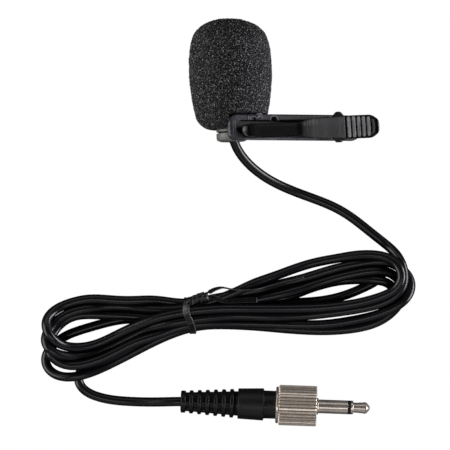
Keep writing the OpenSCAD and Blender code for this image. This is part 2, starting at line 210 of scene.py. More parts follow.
def catmull(P, per=12):
    """centripetal Catmull-Rom through the points."""
    P = np.asarray(P, float)
    out = []
    n = len(P)
    Q = np.concatenate([[2 * P[0] - P[1]], P, [2 * P[-1] - P[-2]]])
    for i in range(n - 1):
        p0, p1, p2, p3 = Q[i], Q[i + 1], Q[i + 2], Q[i + 3]
        k = [0.0]
        for a, b in ((p0, p1), (p1, p2), (p2, p3)):
            k.append(k[-1] + max(np.linalg.norm(b - a), 1e-6) ** 0.5)
        t = np.linspace(k[1], k[2], per, endpoint=False)[:, None]
        A1 = (k[1] - t) / (k[1] - k[0]) * p0 + (t - k[0]) / (k[1] - k[0]) * p1
        A2 = (k[2] - t) / (k[2] - k[1]) * p1 + (t - k[1]) / (k[2] - k[1]) * p2
        A3 = (k[3] - t) / (k[3] - k[2]) * p2 + (t - k[2]) / (k[3] - k[2]) * p3
        B1 = (k[2] - t) / (k[2] - k[0]) * A1 + (t - k[0]) / (k[2] - k[0]) * A2
        B2 = (k[3] - t) / (k[3] - k[1]) * A2 + (t - k[1]) / (k[3] - k[1]) * A3
        out.append((k[2] - t) / (k[2] - k[1]) * B1 + (t - k[1]) / (k[2] - k[1]) * B2)
    out.append(P[-1:])
    return np.concatenate(out)


def sweep(name, P, section, mat=None, sharp=None, normals=None, caps=True, uv=False):
    """section: (k, 2) closed outline, or a function of the index giving one, in the frame (normal, binormal)."""
    T, N, B = frames_along(P)
    if normals is not None:
        N = normals - (normals * T).sum(1)[:, None] * T
        N /= np.linalg.norm(N, axis=1)[:, None]
        B = np.cross(T, N)
    verts, faces = [], []
    k = None
    for i in range(len(P)):
        sec = section(i) if callable(section) else section
        k = len(sec)
        verts.append(P[i] + sec[:, :1] * N[i] + sec[:, 1:] * B[i])
    verts = np.concatenate(verts)
    n = len(P)
    idx = np.arange(n * k).reshape(n, k)
    a, b = idx[:-1], idx[1:]
    q = np.stack([a, np.roll(a, -1, 1), np.roll(b, -1, 1), b], -1).reshape(-1, 4)
    faces = [tuple(f) for f in q]
    if caps:
        faces.append(tuple(idx[0][::-1]))
        faces.append(tuple(idx[-1]))
    ob = mesh_obj(name, verts, faces, sharp=sharp, mat=mat)
    outward(ob)
    return ob


def circle(r, n=20):
    t = np.linspace(0, 2 * math.pi, n, endpoint=False)
    return np.stack([r * np.cos(t), r * np.sin(t)], 1)


# ---- solids from a distance field, for moulded plastic with soft edges
def smin(a, b, k):
    h = np.clip(0.5 + 0.5 * (b - a) / k, 0, 1)
    return b + (a - b) * h - k * h * (1 - h)


def smax(a, b, k):
    return -smin(-a, -b, k)


def poly_sd(px_, py_, poly):
    """signed distance to a closed polygon, negative inside."""
    V = np.asarray(poly, float)
    d = np.full(px_.shape, 1e9)
    inside = np.zeros(px_.shape, bool)
    n = len(V)
    for i in range(n):
        a, b = V[i], V[(i + 1) % n]
        e = b - a
        wx, wy = px_ - a[0], py_ - a[1]
        t = np.clip((wx * e[0] + wy * e[1]) / (e @ e), 0, 1)
        d = np.minimum(d, (wx - e[0] * t) ** 2 + (wy - e[1] * t) ** 2)
        if a[1] != b[1]:
            c = ((a[1] <= py_) & (b[1] > py_)) | ((b[1] <= py_) & (a[1] > py_))
            xi = a[0] + (py_ - a[1]) * e[0] / e[1]
            inside ^= c & (px_ < xi)
    return np.where(inside, -1, 1) * np.sqrt(d)


def surface_nets(f, lo, hi, h):
    """vertices and quads of f = 0 on a grid of pitch h; f(x, y, z) takes broadcastable arrays."""
    n = [int(math.ceil((hi[i] - lo[i]) / h)) + 1 for i in range(3)]
    ax = [lo[i] + h * np.arange(n[i]) for i in range(3)]
    F = f(ax[0][:, None, None], ax[1][None, :, None], ax[2][None, None, :])
    F = np.broadcast_to(F, n).astype(np.float64)
    S = F < 0
    acc = np.zeros([m - 1 for m in n] + [3])
    cnt = np.zeros([m - 1 for m in n])
    quads = []
    cross = {}
    for d in range(3):
        sl0 = [slice(None)] * 3
        sl1 = [slice(None)] * 3
        sl0[d], sl1[d] = slice(0, -1), slice(1, None)
        A, B = F[tuple(sl0)], F[tuple(sl1)]
        c = S[tuple(sl0)] != S[tuple(sl1)]
        cross[d] = (c, S[tuple(sl0)])
        ii = np.argwhere(c)
        t = A[c] / (A[c] - B[c])
        pos = ii.astype(float)
        pos[:, d] += t
        e, g = [x for x in range(3) if x != d]
        for oe in (0, -1):
            for og in (0, -1):
                cell = ii.copy()
                cell[:, e] += oe
                cell[:, g] += og
                ok = (cell >= 0).all(1) & (cell < np.array(cnt.shape)).all(1)
                cc = cell[ok]
                np.add.at(cnt, tuple(cc.T), 1)
                np.add.at(acc, tuple(cc.T), pos[ok])
    used = cnt > 0
    vid = np.full(cnt.shape, -1)
    vid[used] = np.arange(used.sum())
    V = acc[used] / cnt[used][:, None] * h + np.array(lo)
    for d in range(3):
        c, s0 = cross[d]
        ii = np.argwhere(c)
        e, g = [x for x in range(3) if x != d]
        ok = (ii[:, e] > 0) & (ii[:, g] > 0) & (ii[:, e] < n[e] - 1) & (ii[:, g] < n[g] - 1)
        ii = ii[ok]
        sgn = s0[tuple(ii.T)]

        def at(oe, og):
            cell = ii.copy()
            cell[:, e] += oe
            cell[:, g] += og
            return vid[tuple(cell.T)]

        q = np.stack([at(-1, -1), at(0, -1), at(0, 0), at(-1, 0)], 1)
        flip = sgn if d != 1 else ~sgn
        q[~flip] = q[~flip][:, ::-1]
        quads.append(q)
    return V, np.concatenate(quads)


def relax_mesh(V, Q, n=2, w=0.5):
    """light smoothing of a quad mesh."""
    e = np.concatenate([Q[:, [0, 1]], Q[:, [1, 2]], Q[:, [2, 3]], Q[:, [3, 0]]])
    for _ in range(n):
        s = np.zeros_like(V)
        c = np.bincount(e[:, 0], minlength=len(V)) + np.bincount(e[:, 1], minlength=len(V))
        for k in range(3):
            s[:, k] = np.bincount(e[:, 0], V[e[:, 1], k], len(V)) + np.bincount(e[:, 1], V[e[:, 0], k], len(V))
        V = V + w * (s / c[:, None] - V)
    return V


def field_solid(name, f, lo, hi, h, place, mat=None, smooth_n=2, sharp=None):
    V, Q = surface_nets(f, lo, hi, h)
    V = relax_mesh(V, Q, smooth_n)
    org, M = place
    W = V @ M.T + org
    ob = mesh_obj(name, W, Q, sharp=sharp, mat=mat)
    outward(ob)
    return ob


def sstep(a, b, x):
    t = np.clip((x - a) / (b - a), 0, 1)
    return t * t * (3 - 2 * t)


# ------------------------------------------------------------------ materials
def new_mat(name):
    m = bpy.data.materials.new(name)
    m.use_nodes = True
    nt = m.node_tree
    for n_ in list(nt.nodes):
        nt.nodes.remove(n_)
    out = nt.nodes.new("ShaderNodeOutputMaterial")
    bs = nt.nodes.new("ShaderNodeBsdfPrincipled")
    nt.links.new(bs.outputs[0], out.inputs[0])
    return m, nt, bs


def N_(nt, kind, **kw):
    n = nt.nodes.new("ShaderNode" + kind)
    for k, v in kw.items():
        if k in n.inputs.keys():
            n.inputs[k].default_value = v
        else:
            setattr(n, k, v)
    return n


def coords(nt, scale=(1000, 1000, 1000), kind="Object"):
    """object coordinates in millimetres."""
    tc = nt.nodes.new("ShaderNodeTexCoord")
    mp = nt.nodes.new("ShaderNodeMapping")
    mp.inputs["Scale"].default_value = scale
    nt.links.new(tc.outputs[kind], mp.inputs[0])
    return mp.outputs[0]


def noise_(nt, vec, scale, detail=3, rough=0.55, dist=0.0):
    n = nt.nodes.new("ShaderNodeTexNoise")
    n.inputs["Scale"].default_value = scale
    n.inputs["Detail"].default_value = detail
    n.inputs["Roughness"].default_value = rough
    n.inputs["Distortion"].default_value = dist
    nt.links.new(vec, n.inputs["Vector"])
    return n.outputs["Fac"]


def ramp_(nt, fac, stops):
    r = nt.nodes.new("ShaderNodeValToRGB")
    el = r.color_ramp.elements
    while len(el) < len(stops):
        el.new(0.5)
    for e, (p, c) in zip(el, stops):
        e.position = p
        e.color = (c, c, c, 1) if isinstance(c, (int, float)) else (*c, 1)
    nt.links.new(fac, r.inputs[0])
    return r.outputs[0]


def bump_(nt, bs, height, strength, dist_mm, prev=None):
    b = nt.nodes.new("ShaderNodeBump")
    b.inputs["Strength"].default_value = strength
    b.inputs["Distance"].default_value = dist_mm * MM
    nt.links.new(height, b.inputs["Height"])
    if prev is not None:
        nt.links.new(prev, b.inputs["Normal"])
    if bs is not None:
        nt.links.new(b.outputs[0], bs.inputs["Normal"])
    return b.outputs[0]


def moulded(name, dark, light, rough=(0.4, 0.55), grain=2.5, bump=0.35, bump_mm=0.02, spec=0.3, coat=0.0, fine=14.0):
    """moulded plastic or rubber: mottled tone, uneven gloss, fine grain."""
    m, nt, bs = new_mat(name)
    v = coords(nt)
    a = noise_(nt, v, grain, 4)
    b = noise_(nt, v, fine, 3, 0.6)
    nt.links.new(ramp_(nt, a, [(0.3, dark), (0.72, light)]), bs.inputs["Base Color"])
    nt.links.new(ramp_(nt, b, [(0.3, rough[0]), (0.7, rough[1])]), bs.inputs["Roughness"])
    n1 = bump_(nt, None, b, bump, bump_mm)
    bump_(nt, bs, a, bump * 0.6, bump_mm * 2.5, n1)
    bs.inputs["Specular IOR Level"].default_value = spec
    if coat:
        bs.inputs["Coat Weight"].default_value = coat
        bs.inputs["Coat Roughness"].default_value = 0.25
    return m


def metal(name, dark, light, rough=(0.22, 0.4), grain=1.2, streak=None, bump=0.15, bump_mm=0.01, metallic=1.0, fine=10.0):
    """turned or plated metal; streak = mapping scale that stretches the noise into machining lines."""
    m, nt, bs = new_mat(name)
    v = coords(nt)
    a = noise_(nt, v, grain, 4)
    vs = v
    if streak is not None:
        mp = nt.nodes.new("ShaderNodeMapping")
        mp.inputs["Scale"].default_value = streak[0]
        mp.inputs["Rotation"].default_value = streak[1]
        nt.links.new(v, mp.inputs[0])
        vs = mp.outputs[0]
    b = noise_(nt, vs, fine, 4, 0.6)
    nt.links.new(ramp_(nt, a, [(0.3, dark), (0.75, light)]), bs.inputs["Base Color"])
    nt.links.new(ramp_(nt, b, [(0.25, rough[0]), (0.75, rough[1])]), bs.inputs["Roughness"])
    bs.inputs["Metallic"].default_value = metallic
    bump_(nt, bs, b, bump, bump_mm)
    return m


# ------------------------------------------------------------------ camera and room
S = 0.2536


def px(x, y):
    return ((x - 284.3) * S, (80.4 - y) * S)


CX, CY = px(225, 225)
WIDE = 450 * S
CAM_H = 1400.0
cam_data = bpy.data.cameras.new("camera")
cam_data.sensor_width = 36
cam_data.lens = 36 * (CAM_H - 5) / WIDE
cam_data.clip_start = 0.05
cam_data.clip_end = 20
cam = bpy.data.objects.new("camera", cam_data)
bpy.context.collection.objects.link(cam)
cam.location = (CX * MM, CY * MM, CAM_H * MM)
cam.rotation_euler = (0, 0, 0)
bpy.context.scene.camera = cam

# ------------------------------------------------------------------ cable
CD = 2.4
CR = CD / 2
LEAD = [(234, 142.5), (235, 146), (238, 152), (242.5, 158), (247.5, 164), (255.5, 170.5), (264, 177), (272, 181.5), (280, 185.3),
        (288, 189), (296, 192), (304, 195), (312, 198), (320, 200.8), (328, 204), (336, 207.7), (344, 212), (352, 217.4), (360, 223.4),
        (368, 230), (376, 236.4), (384, 242.8), (391.5, 249)]
LEAD_Z = ([0, 2, 5, 8, 12, 16, 20, 26, 34, 44, 48, 52, 56, 60], [11.2, 11.0, 10.3, 9.1, 7.3, 5.5, 3.9, 2.3, 1.25, 1.2, 1.4, 2.2, 3.4, 4.6])
# passes of the hank from the lead to the plug: plan position and level in cable diameters above the lowest layer
PASSES = [
    [(396.5, 256, 1.3), (399.7, 262.5, 1.5), (403.5, 270, 1.6), (404.8, 277, 1.6), (404.5, 282, 1.6), (402.5, 288, 1.6), (397, 295, 1.7),
     (389, 300.4, 1.7), (380, 304.2, 1.7), (370, 306.6, 1.7), (360, 308.5, 1.7), (350, 310.3, 1.7), (340, 311.9, 1.7), (320, 313.8, 1.6),
     (300, 316.8, 1.5), (260, 316, 1.4), (220, 316, 1.3), (205, 317, 1.2)],
    [(188, 319, 1.2), (180, 320.5, 1.2), (160, 326, 1.2), (140, 334, 1.2), (120, 344.5, 1.2), (100, 352, 1.2), (85, 357, 1.2),
     (75, 358.0, 1.2), (65, 357.2, 1.2), (56, 354.6, 1.2), (49.3, 350.9, 1.2), (45.2, 345.3, 1.2), (44.4, 340, 1.2), (45.9, 336.7, 1.2),
     (50, 330, 1.2), (54, 323, 1.2), (60, 317, 1.2), (70, 312, 1.2), (80, 309.2, 1.2), (90, 307.7, 1.2), (100, 307, 1.2),
     (130, 307.5, 1.2), (150, 308.5, 1.3), (185, 310, 1.6)],
    [(205, 304, 2.2), (217, 299, 2.2), (230, 294.5, 2.1), (240, 290.5, 2.0), (260, 281.6, 1.9), (270, 278, 1.8), (280, 274.2, 1.7), (300, 266.8, 1.4),
     (320, 261.2, 1.3), (340, 258.3, 1.4), (350, 256.6, 1.6), (360, 255.6, 1.8), (370, 255.2, 2.0), (385, 256.5, 2.2), (390, 258.3, 2.4),
     (395, 261.5, 2.5), (400, 268, 2.6), (402, 275, 2.6), (401.5, 281, 2.6), (398, 288, 2.6), (392, 292, 2.6), (385, 295, 2.6),
     (378.5, 296.8, 2.6), (371, 300.5, 2.6), (361, 302.6, 2.6), (350, 304.6, 2.6), (340, 306, 2.6), (320, 308, 2.6), (300, 308.5, 2.6),
     (260, 309, 2.5), (240, 308, 2.4), (220, 308.5, 2.3), (210, 309.5, 2.2), (200, 310.5, 2.1)],
    [(188, 312, 2.1), (180, 313.3, 2.2), (170, 315.3, 2.2), (160, 317.7, 2.2), (150, 320.7, 2.2), (140, 324.3, 2.2), (130, 328.5, 2.2),
     (120, 333.5, 2.2), (110, 338.7, 2.2), (100, 343.5, 2.2), (90, 346.8, 2.2), (80, 348.3, 2.2), (70, 347.7, 2.2), (63, 346, 2.2),
     (56.4, 343.7, 2.2), (50.2, 338.8, 2.2), (45.7, 332.4, 2.2), (43.9, 325.2, 2.2), (47.0, 316.9, 2.2), (52.6, 310.6, 2.2), (61.6, 305.6, 2.2),
     (70, 303.2, 2.2), (80, 301, 2.2), (95, 300, 2.2), (110, 300.1, 2.2), (130, 300.9, 2.2), (140, 301.4, 2.25), (150, 301.8, 2.3),
     (165, 302.1, 2.35), (178, 302.7, 2.4), (188, 304.2, 2.4)],
    [(200, 302.5, 2.4), (212, 299.8, 1.9), (225, 297, 1.5), (245, 292.8, 1.3), (260, 289, 1.2), (280, 284, 1.2), (300, 279.5, 1.2),
     (310, 277, 1.2), (320, 273.3, 1.2), (340, 268, 1.2), (350, 264.5, 1.2), (360, 263, 1.2), (370, 261.8, 1.1), (380, 261.2, 0.9),
     (388, 261.6, 0.7)],
    [(395, 264, 0.6), (401.5, 268.5, 0.5), (407.3, 273, 0.5), (411.3, 278.5, 0.5), (412.8, 284, 0.5), (410.6, 293.2, 0.6), (404, 300.8, 0.7),
     (396, 306.6, 0.8), (388, 311.2, 0.9), (380, 314.6, 0.9), (370, 317.0, 0.9), (360, 319.3, 0.9), (350, 321.4, 0.9), (340, 323.3, 0.9),
     (320, 325.2, 0.9), (300, 324.7, 0.9), (280, 324.3, 0.9), (260, 324, 0.9), (240, 323.5, 0.9), (210, 323, 0.9)],
    [(188, 324.5, 0.8), (180, 326, 0.8), (160, 331, 0.8), (140, 339.5, 0.8), (120, 350, 0.8), (110, 355, 0.8), (100, 359.8, 0.8),
     (85, 364, 0.8), (75, 365.3, 0.8), (66, 364, 0.8), (58, 361, 0.8), (52, 356.5, 0.8), (48, 351.5, 0.8), (46.5, 346, 0.7),
     (49, 340, 0.6), (53, 333, 0.6), (58, 326, 0.6), (65, 320, 0.6), (72, 316, 0.6), (80, 314, 0.6), (90, 312.8, 0.6), (100, 312.5, 0.6),
     (110, 314, 0.6), (130, 315.5, 0.6), (150, 316.3, 0.6), (170, 317, 0.6), (188, 317, 0.6)],
    [(205, 312, 0.7), (225, 305.8, 0.7), (245, 301.8, 0.7), (260, 298.5, 0.7), (280, 295, 0.7), (300, 289.5, 0.7), (310, 285.7, 0.7),
     (320, 282.7, 0.7), (340, 276.7, 0.7), (350, 274.3, 0.7), (360, 273.2, 0.7), (370, 272.2, 0.7), (380, 270.2, 0.7), (388, 270.6, 0.6),
     (394, 274, 0.5), (399, 280, 0.4), (402.5, 288, 0.3), (403.5, 297, 0.2), (400.5, 304, 0.1)],
    [(396, 308.4, 0.0), (388, 316.5, 0.0), (380, 321.8, 0.0), (370, 325.5, 0.0), (360, 327.8, 0.0), (350, 329, 0.0), (340, 330, 0.0),
     (320, 331, 0.0), (300, 330, 0.0), (280, 328.5, 0.0), (260, 326.7, 0.0), (240, 325.5, 0.0), (205, 325.3, 0.0)],
    [(188, 328.3, 0.0), (180, 331, 0.0), (160, 339, 0.1), (140, 349, 0.2), (120, 359.5, 0.4), (100, 369, 0.6), (90, 373, 0.8),
     (80, 376, 0.9), (70, 377.3, 0.7), (61, 377, 0.3), (54, 374.3, 0.1), (48.3, 370.4, 0.0), (45.1, 364.2, 0.0), (44.3, 358, 0.0),
     (46.0, 351.7, 0.0), (50.6, 346.2, 0.0), (57, 341, 0.0), (64, 336.5, 0.0), (70, 333.8, 0.0), (80, 330.5, 0.0), (90, 327.4, 0.0),
     (100, 324.6, 0.0), (110, 321.8, 0.0), (125, 318.7, 0.0), (140, 316.6, 0.0), (165, 315.2, 0.0), (188, 313.5, 0.1)],
    [(205, 309.5, 0.1), (225, 305.5, 0.1), (250, 302.5, 0.2), (270, 300.8, 0.2), (285, 299.4, 0.3), (296, 295.2, 0.4), (302, 291.4, 0.4),
     (308, 287.8, 0.4), (318, 284.9, 0.4), (333, 282.0, 0.4), (345, 280.0, 0.4), (357, 279.4, 0.4), (370, 279.4, 0.4), (380, 280.6, 0.4),
     (388, 283, 0.4), (394, 287.4, 0.4), (396.5, 292.6, 0.4)],
    [(394, 297.6, 0.4), (388, 301, 0.4), (380, 303.8, 0.5), (370, 306, 0.5), (360, 307.6, 0.5), (340, 310, 0.5), (320, 312, 0.5),
     (300, 312.5, 0.5), (280, 312.8, 0.5), (250, 313, 0.5), (205, 314, 0.5)],
    [(188, 321, 0.4), (180, 323.5, 0.3), (160, 329.5, 0.3), (140, 338.5, 0.3), (120, 349.8, 0.3), (100, 360.5, 0.3), (85, 365.6, 0.3),
     (72, 365.4, 0.3), (64, 363.4, 0.3), (57, 360, 0.3), (51, 355.2, 0.3), (47, 350.5, 0.3), (47.5, 345.5, 0.2), (50.5, 337, 0.1),
     (54.5, 328, 0.0), (60, 321, 0.0), (67, 316, 0.0), (77, 312.8, 0.0), (90, 310.8, 0.0), (110, 310.6, 0.0), (150, 312.3, 0.0),
     (188, 314.5, 0.2)],
    [(205, 311, 0.3), (225, 306, 0.3), (250, 299, 0.2), (280, 288.5, 0.0), (300, 282.5, 0.0), (320, 276.5, 0.0), (335, 271.5, 0.0),
     (345, 267, 0.0), (355, 262.5, 0.0), (365, 259.5, 0.0), (375, 259, 0.0), (382, 262, 0.0), (385.5, 267.5, 0.0)],
    [(384.5, 273, 0.0), (379, 278, 0.0), (372, 282.3, 0.0), (367, 285.5, 0.0), (362, 288.5, 0.0), (357, 291.2, 0.0), (350, 294.2, 0.0),
     (340, 297.2, 0.0), (330, 299.7, 0.0), (320, 301.3, 0.0), (310, 302.3, 0.0), (300, 302.4, 0.0), (280, 303, 0.0), (260, 304, 0.0),
     (230, 306, 0.0), (205, 310, 0.0)],
    [(188, 316.5, 0.0), (180, 320, 0.0), (160, 329, 0.0), (140, 338, 0.0), (120, 348, 0.0), (100, 358, 0.0), (90, 362.5, 0.0),
     (82.5, 368, 0.0), (78.3, 374, 0.0), (76.9, 380, 0.0), (78.5, 385, 0.0), (81.5, 388.5, 0.0), (86.5, 391.7, 0.0), (92, 395, 0.0),
     (100, 398, 0.02), (108, 400, 0.06), (116, 401, 0.17), (124, 401.5, 0.33), (132, 402, 0.54), (148, 402.4, 1.04), (160, 402.2, 1.38),
     (172, 401.7, 1.52)],
]


def cable_route():
    P = [px(*p) for p in LEAD]
    run = np.concatenate([[0], np.cumsum([math.dist(a, b) for a, b in zip(P[:-1], P[1:])])])
    pts = [(p[0], p[1], float(np.interp(a, *LEAD_Z))) for p, a in zip(P, run)]
    for seg in PASSES:
        for x, y, lv in seg:
            X, Y = px(x, y)
            pts.append((X, Y, CR + lv * CD))
    head = [tuple(mic_pt(y)) for y in (-0.5, -2.0, -3.3)]
    tail = [tuple(plug_pt(u)) for u in (-1.0, 0.5, 3.0, 6.0)]
    return head, pts[1:], tail


def settle(P, T, pin, iters):
    """lets the cable lie on the table and on itself: keeps its length and its bends round, keeps passes a diameter apart,
    holds the plan loosely where it is laid."""
    n = len(P)
    L0 = np.full(n - 1, np.linalg.norm(np.diff(T, axis=0), axis=1).mean())
    w = np.where(pin, 0.0, 1.0)
    iu, ju = np.triu_indices(n, 5)
    for it in range(iters):
        if it % 8 == 0:
            near = ((P[iu] - P[ju]) ** 2).sum(1) < (CD * 1.35) ** 2
            ci, cj = iu[near], ju[near]
        f = it / iters
        P[:, 2] -= w * (0.010 * (1 - f))
        P[:, :2] += (w * 0.08 * (1 - 0.5 * f))[:, None] * (T[:, :2] - P[:, :2])
        for _ in range(2):
            lap = np.zeros_like(P)
            lap[2:-2] = (P[1:-3] + P[3:-1]) * 4 / 6 - (P[:-4] + P[4:]) / 6 - P[2:-2]
            P += 0.5 * lap * w[:, None]
        for _ in range(3):
            for par in (0, 1):
                a = np.arange(par, n - 1, 2)
                b = a + 1
                dv = P[b] - P[a]
                ln = np.linalg.norm(dv, axis=1)
                ws = np.maximum(w[a] + w[b], 1e-9)
                c = ((ln - L0[a]) / ln * (ws > 1e-8))[:, None] * dv * 0.9
                P[a] += c * (w[a] / ws)[:, None]
                P[b] -= c * (w[b] / ws)[:, None]
        for _ in range(3):
            dv = P[cj] - P[ci]
            ln = np.linalg.norm(dv, axis=1)
            m = ln < CD
            if not m.any():
                break
            a, b, dv, ln = ci[m], cj[m], dv[m], ln[m]
            ws = np.maximum(w[a] + w[b], 1e-9)
            c = ((CD - ln) / np.maximum(ln, 1e-6) * 0.35)[:, None] * dv
            for k in range(3):
                P[:, k] += np.bincount(b, c[:, k] * w[b] / ws, n) - np.bincount(a, c[:, k] * w[a] / ws, n)
        P[:, 2] = np.where(pin, P[:, 2], np.maximum(P[:, 2], CR))
    return P


def cable_path():
    head, mid, tail = cable_route()
    T = resample(catmull(head + mid + tail, 10), 1.2)
    for _ in range(4):
        T[1:-1] += 0.5 * ((T[:-2] + T[2:]) / 2 - T[1:-1])
    n = len(T)
    i0 = int(np.argmin(((T[:60] - np.array(head[-1])) ** 2).sum(1)))
    i1 = n - 60 + int(np.argmin(((T[-60:] - np.array(tail[0])) ** 2).sum(1)))
    pin = np.zeros(n, bool)
    pin[: i0 + 1] = True
    pin[i1:] = True
    P = settle(T.copy(), T, pin, 500)
    w = np.where(pin, 0.0, 1.0)[1:-1, None]
    for k in range(28):
        P[1:-1] += (0.5 if k % 2 == 0 else -0.52) * w * ((P[:-2] + P[2:]) / 2 - P[1:-1])
    return P


CABLE = cable_path()
mat_cable = moulded("cable_pvc", (0.0014, 0.0014, 0.0021), (0.003, 0.003, 0.0044), rough=(0.25, 0.29), grain=0.4, bump=0.03, bump_mm=0.001, fine=3.0, spec=0.5)
fine_path = catmull(CABLE, 3)
cable = sweep("cable", fine_path, circle(CR - 0.005, 22), mat=mat_cable)
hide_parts("cable_lead", "cable_hank", "cable_tail")
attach(cable, "microphone")

# ------------------------------------------------------------------ twist tie
mat_tie, nt, bs = new_mat("tie_plastic")
v = coords(nt)
t1_ = noise_(nt, v, 1.4, 3, 0.5)
# the zone attribute lifts the base colour towards light grey: painted highlights on the ribbon's edges and cut ends,
# and a painted sheen on the band
tie_highlight = N_(nt, "Attribute", attribute_name="zone")
tsum = N_(nt, "Math", operation="MULTIPLY_ADD")
nt.links.new(t1_, tsum.inputs[0])
tsum.inputs[1].default_value = 0.12
nt.links.new(tie_highlight.outputs["Fac"], tsum.inputs[2])
nt.links.new(ramp_(nt, tsum.outputs[0], [(0.02, (0.006, 0.006, 0.0065)), (0.14, (0.013, 0.013, 0.014)), (1.0, (0.17, 0.17, 0.165))]), bs.inputs["Base Color"])
nt.links.new(ramp_(nt, t1_, [(0.3, 0.24), (0.7, 0.36)]), bs.inputs["Roughness"])
bs.inputs["Specular IOR Level"].default_value = 0.5
bump_(nt, bs, t1_, 0.3, 0.02)
TIE_W, TIE_T = 0.8, 0.17


def tie_section(w=TIE_W, t=TIE_T):
    """flat ribbon with beaded edges; (thickness, width) pairs."""
    a = np.sin(np.linspace(-1, 1, 17) * math.pi / 2)
    up = t * (0.45 + 0.75 * np.abs(a) ** 5) * np.sqrt(np.clip(1 - np.abs(a) ** 14, 0, 1))
    top = np.stack([up, a * w], 1)
    bot = np.stack([-up[::-1], a[::-1] * w], 1)[1:-1]
    return np.concatenate([top, bot])


def lie(x, y, r=0.0):
    """height of the cable's upper side under a point."""
    d2 = (fine_path[:, 0] - x) ** 2 + (fine_path[:, 1] - y) ** 2
    m = d2 < (CR + r) ** 2
    if not m.any():
        return 0.0
    return float((fine_path[m, 2] + np.sqrt(np.maximum(CR ** 2 - np.maximum(np.sqrt(d2[m]) - r, 0) ** 2, 0))).max())


def ribbon(name, P, N, edge=None, sec=None):
    s0 = np.concatenate([[0], np.cumsum(np.linalg.norm(np.diff(P, axis=0), axis=1))])
    u = np.arange(0, s0[-1], 0.12)
    Q = np.stack([np.interp(u, s0, P[:, c]) for c in range(3)], 1)
    W = np.stack([np.interp(u, s0, N[:, c]) for c in range(3)], 1)
    for _ in range(6):
        Q[1:-1] += 0.5 * ((Q[:-2] + Q[2:]) / 2 - Q[1:-1])
        W[1:-1] += 0.5 * ((W[:-2] + W[2:]) / 2 - W[1:-1])
    sec = tie_section() if sec is None else sec
    ob = sweep(name, Q, sec, mat=mat_tie, sharp=60, normals=W)
    a = ob.data.attributes.new("zone", "FLOAT", "POINT")
    # the ribbon's beaded edges get a lighter base colour: painted highlights
    f = np.tile(np.clip((np.abs(sec[:, 1]) / TIE_W - 0.72) / 0.18, 0, 1) * 0.75, len(Q)).reshape(len(Q), len(sec))
    if edge is not None:
        x_, y_ = Q[:, 0] / S + 284.3, 80.4 - Q[:, 1] / S
        wa, wb, add_ = edge(x_, y_, Q[:, 2])
        f = f * np.where(sec[:, 1] > 0, wa[:, None], wb[:, None]) + add_[:, None] * np.where(sec[:, 1] > 0.25, 0.35, 1.0)
    # the last two rings, the cut end, get the lightest colour: a painted highlight
    f[-2:] = 1.3
    a.data.foreach_set("value", f.ravel().astype(np.float32))
    return ob


def tie_band():
    A, B = np.array(px(188.3, 301)), np.array(px(193.5, 333.5))
    ax = (B - A) / np.linalg.norm(B - A)
    nrm = np.array([-ax[1], ax[0]])
    sd = (fine_path[:, :2] - A) @ nrm
    k = np.nonzero((sd[:-1] * sd[1:] <= 0) & (np.abs((fine_path[:-1, :2] - A) @ ax - 4.2) < 9))[0]
    pts = []
    for i in k:
        t = sd[i] / (sd[i] - sd[i + 1])
        q = fine_path[i] + t * (fine_path[i + 1] - fine_path[i])
        for a in np.linspace(0, 2 * math.pi, 40, endpoint=False):
            pts.append(((q[:2] - A) @ ax + (CR + TIE_T + 0.03) * math.cos(a), q[2] + (CR + TIE_T + 0.03) * math.sin(a)))
    pts = sorted(set(pts))

    def half(pp):
        h = []
        for p in pp:
            while len(h) > 1 and (h[-1][0] - h[-2][0]) * (p[1] - h[-2][1]) - (h[-1][1] - h[-2][1]) * (p[0] - h[-2][0]) <= 0:
                h.pop()
            h.append(p)
        return h
    lo, hi = half(pts), half(pts[::-1])
    hull = np.array(lo[:-1] + hi[:-1])
    hull[:, 1] = np.maximum(hull[:, 1], TIE_T + 0.02)
    loop = resample(np.concatenate([hull, hull[:1]]), 0.25)[:-1]
    # start on the knot's side, on top, and run over the top first
    i0 = int(np.argmin((loop[:, 0] - 0.9) ** 2 + (loop[:, 1] - 7.2) ** 2))
    loop = np.roll(loop, -i0, 0)
    if loop[6, 1] < loop[0, 1]:
        loop = np.roll(loop[::-1], 1, 0)
    P = []
    for s_, z_ in loop:
        bulge = -0.95 * math.exp(-((s_ - 2.7) / 2.6) ** 2) if z_ > 3 else -0.2
        slack = 0.22 * min(max((s_ - 5.0) / 3.0, 0.0), 1.0)
        xy = A + ax * (s_ + slack) + np.array([1.0, 0.0]) * bulge
        P.append((xy[0], xy[1], z_))
    return np.array(P)


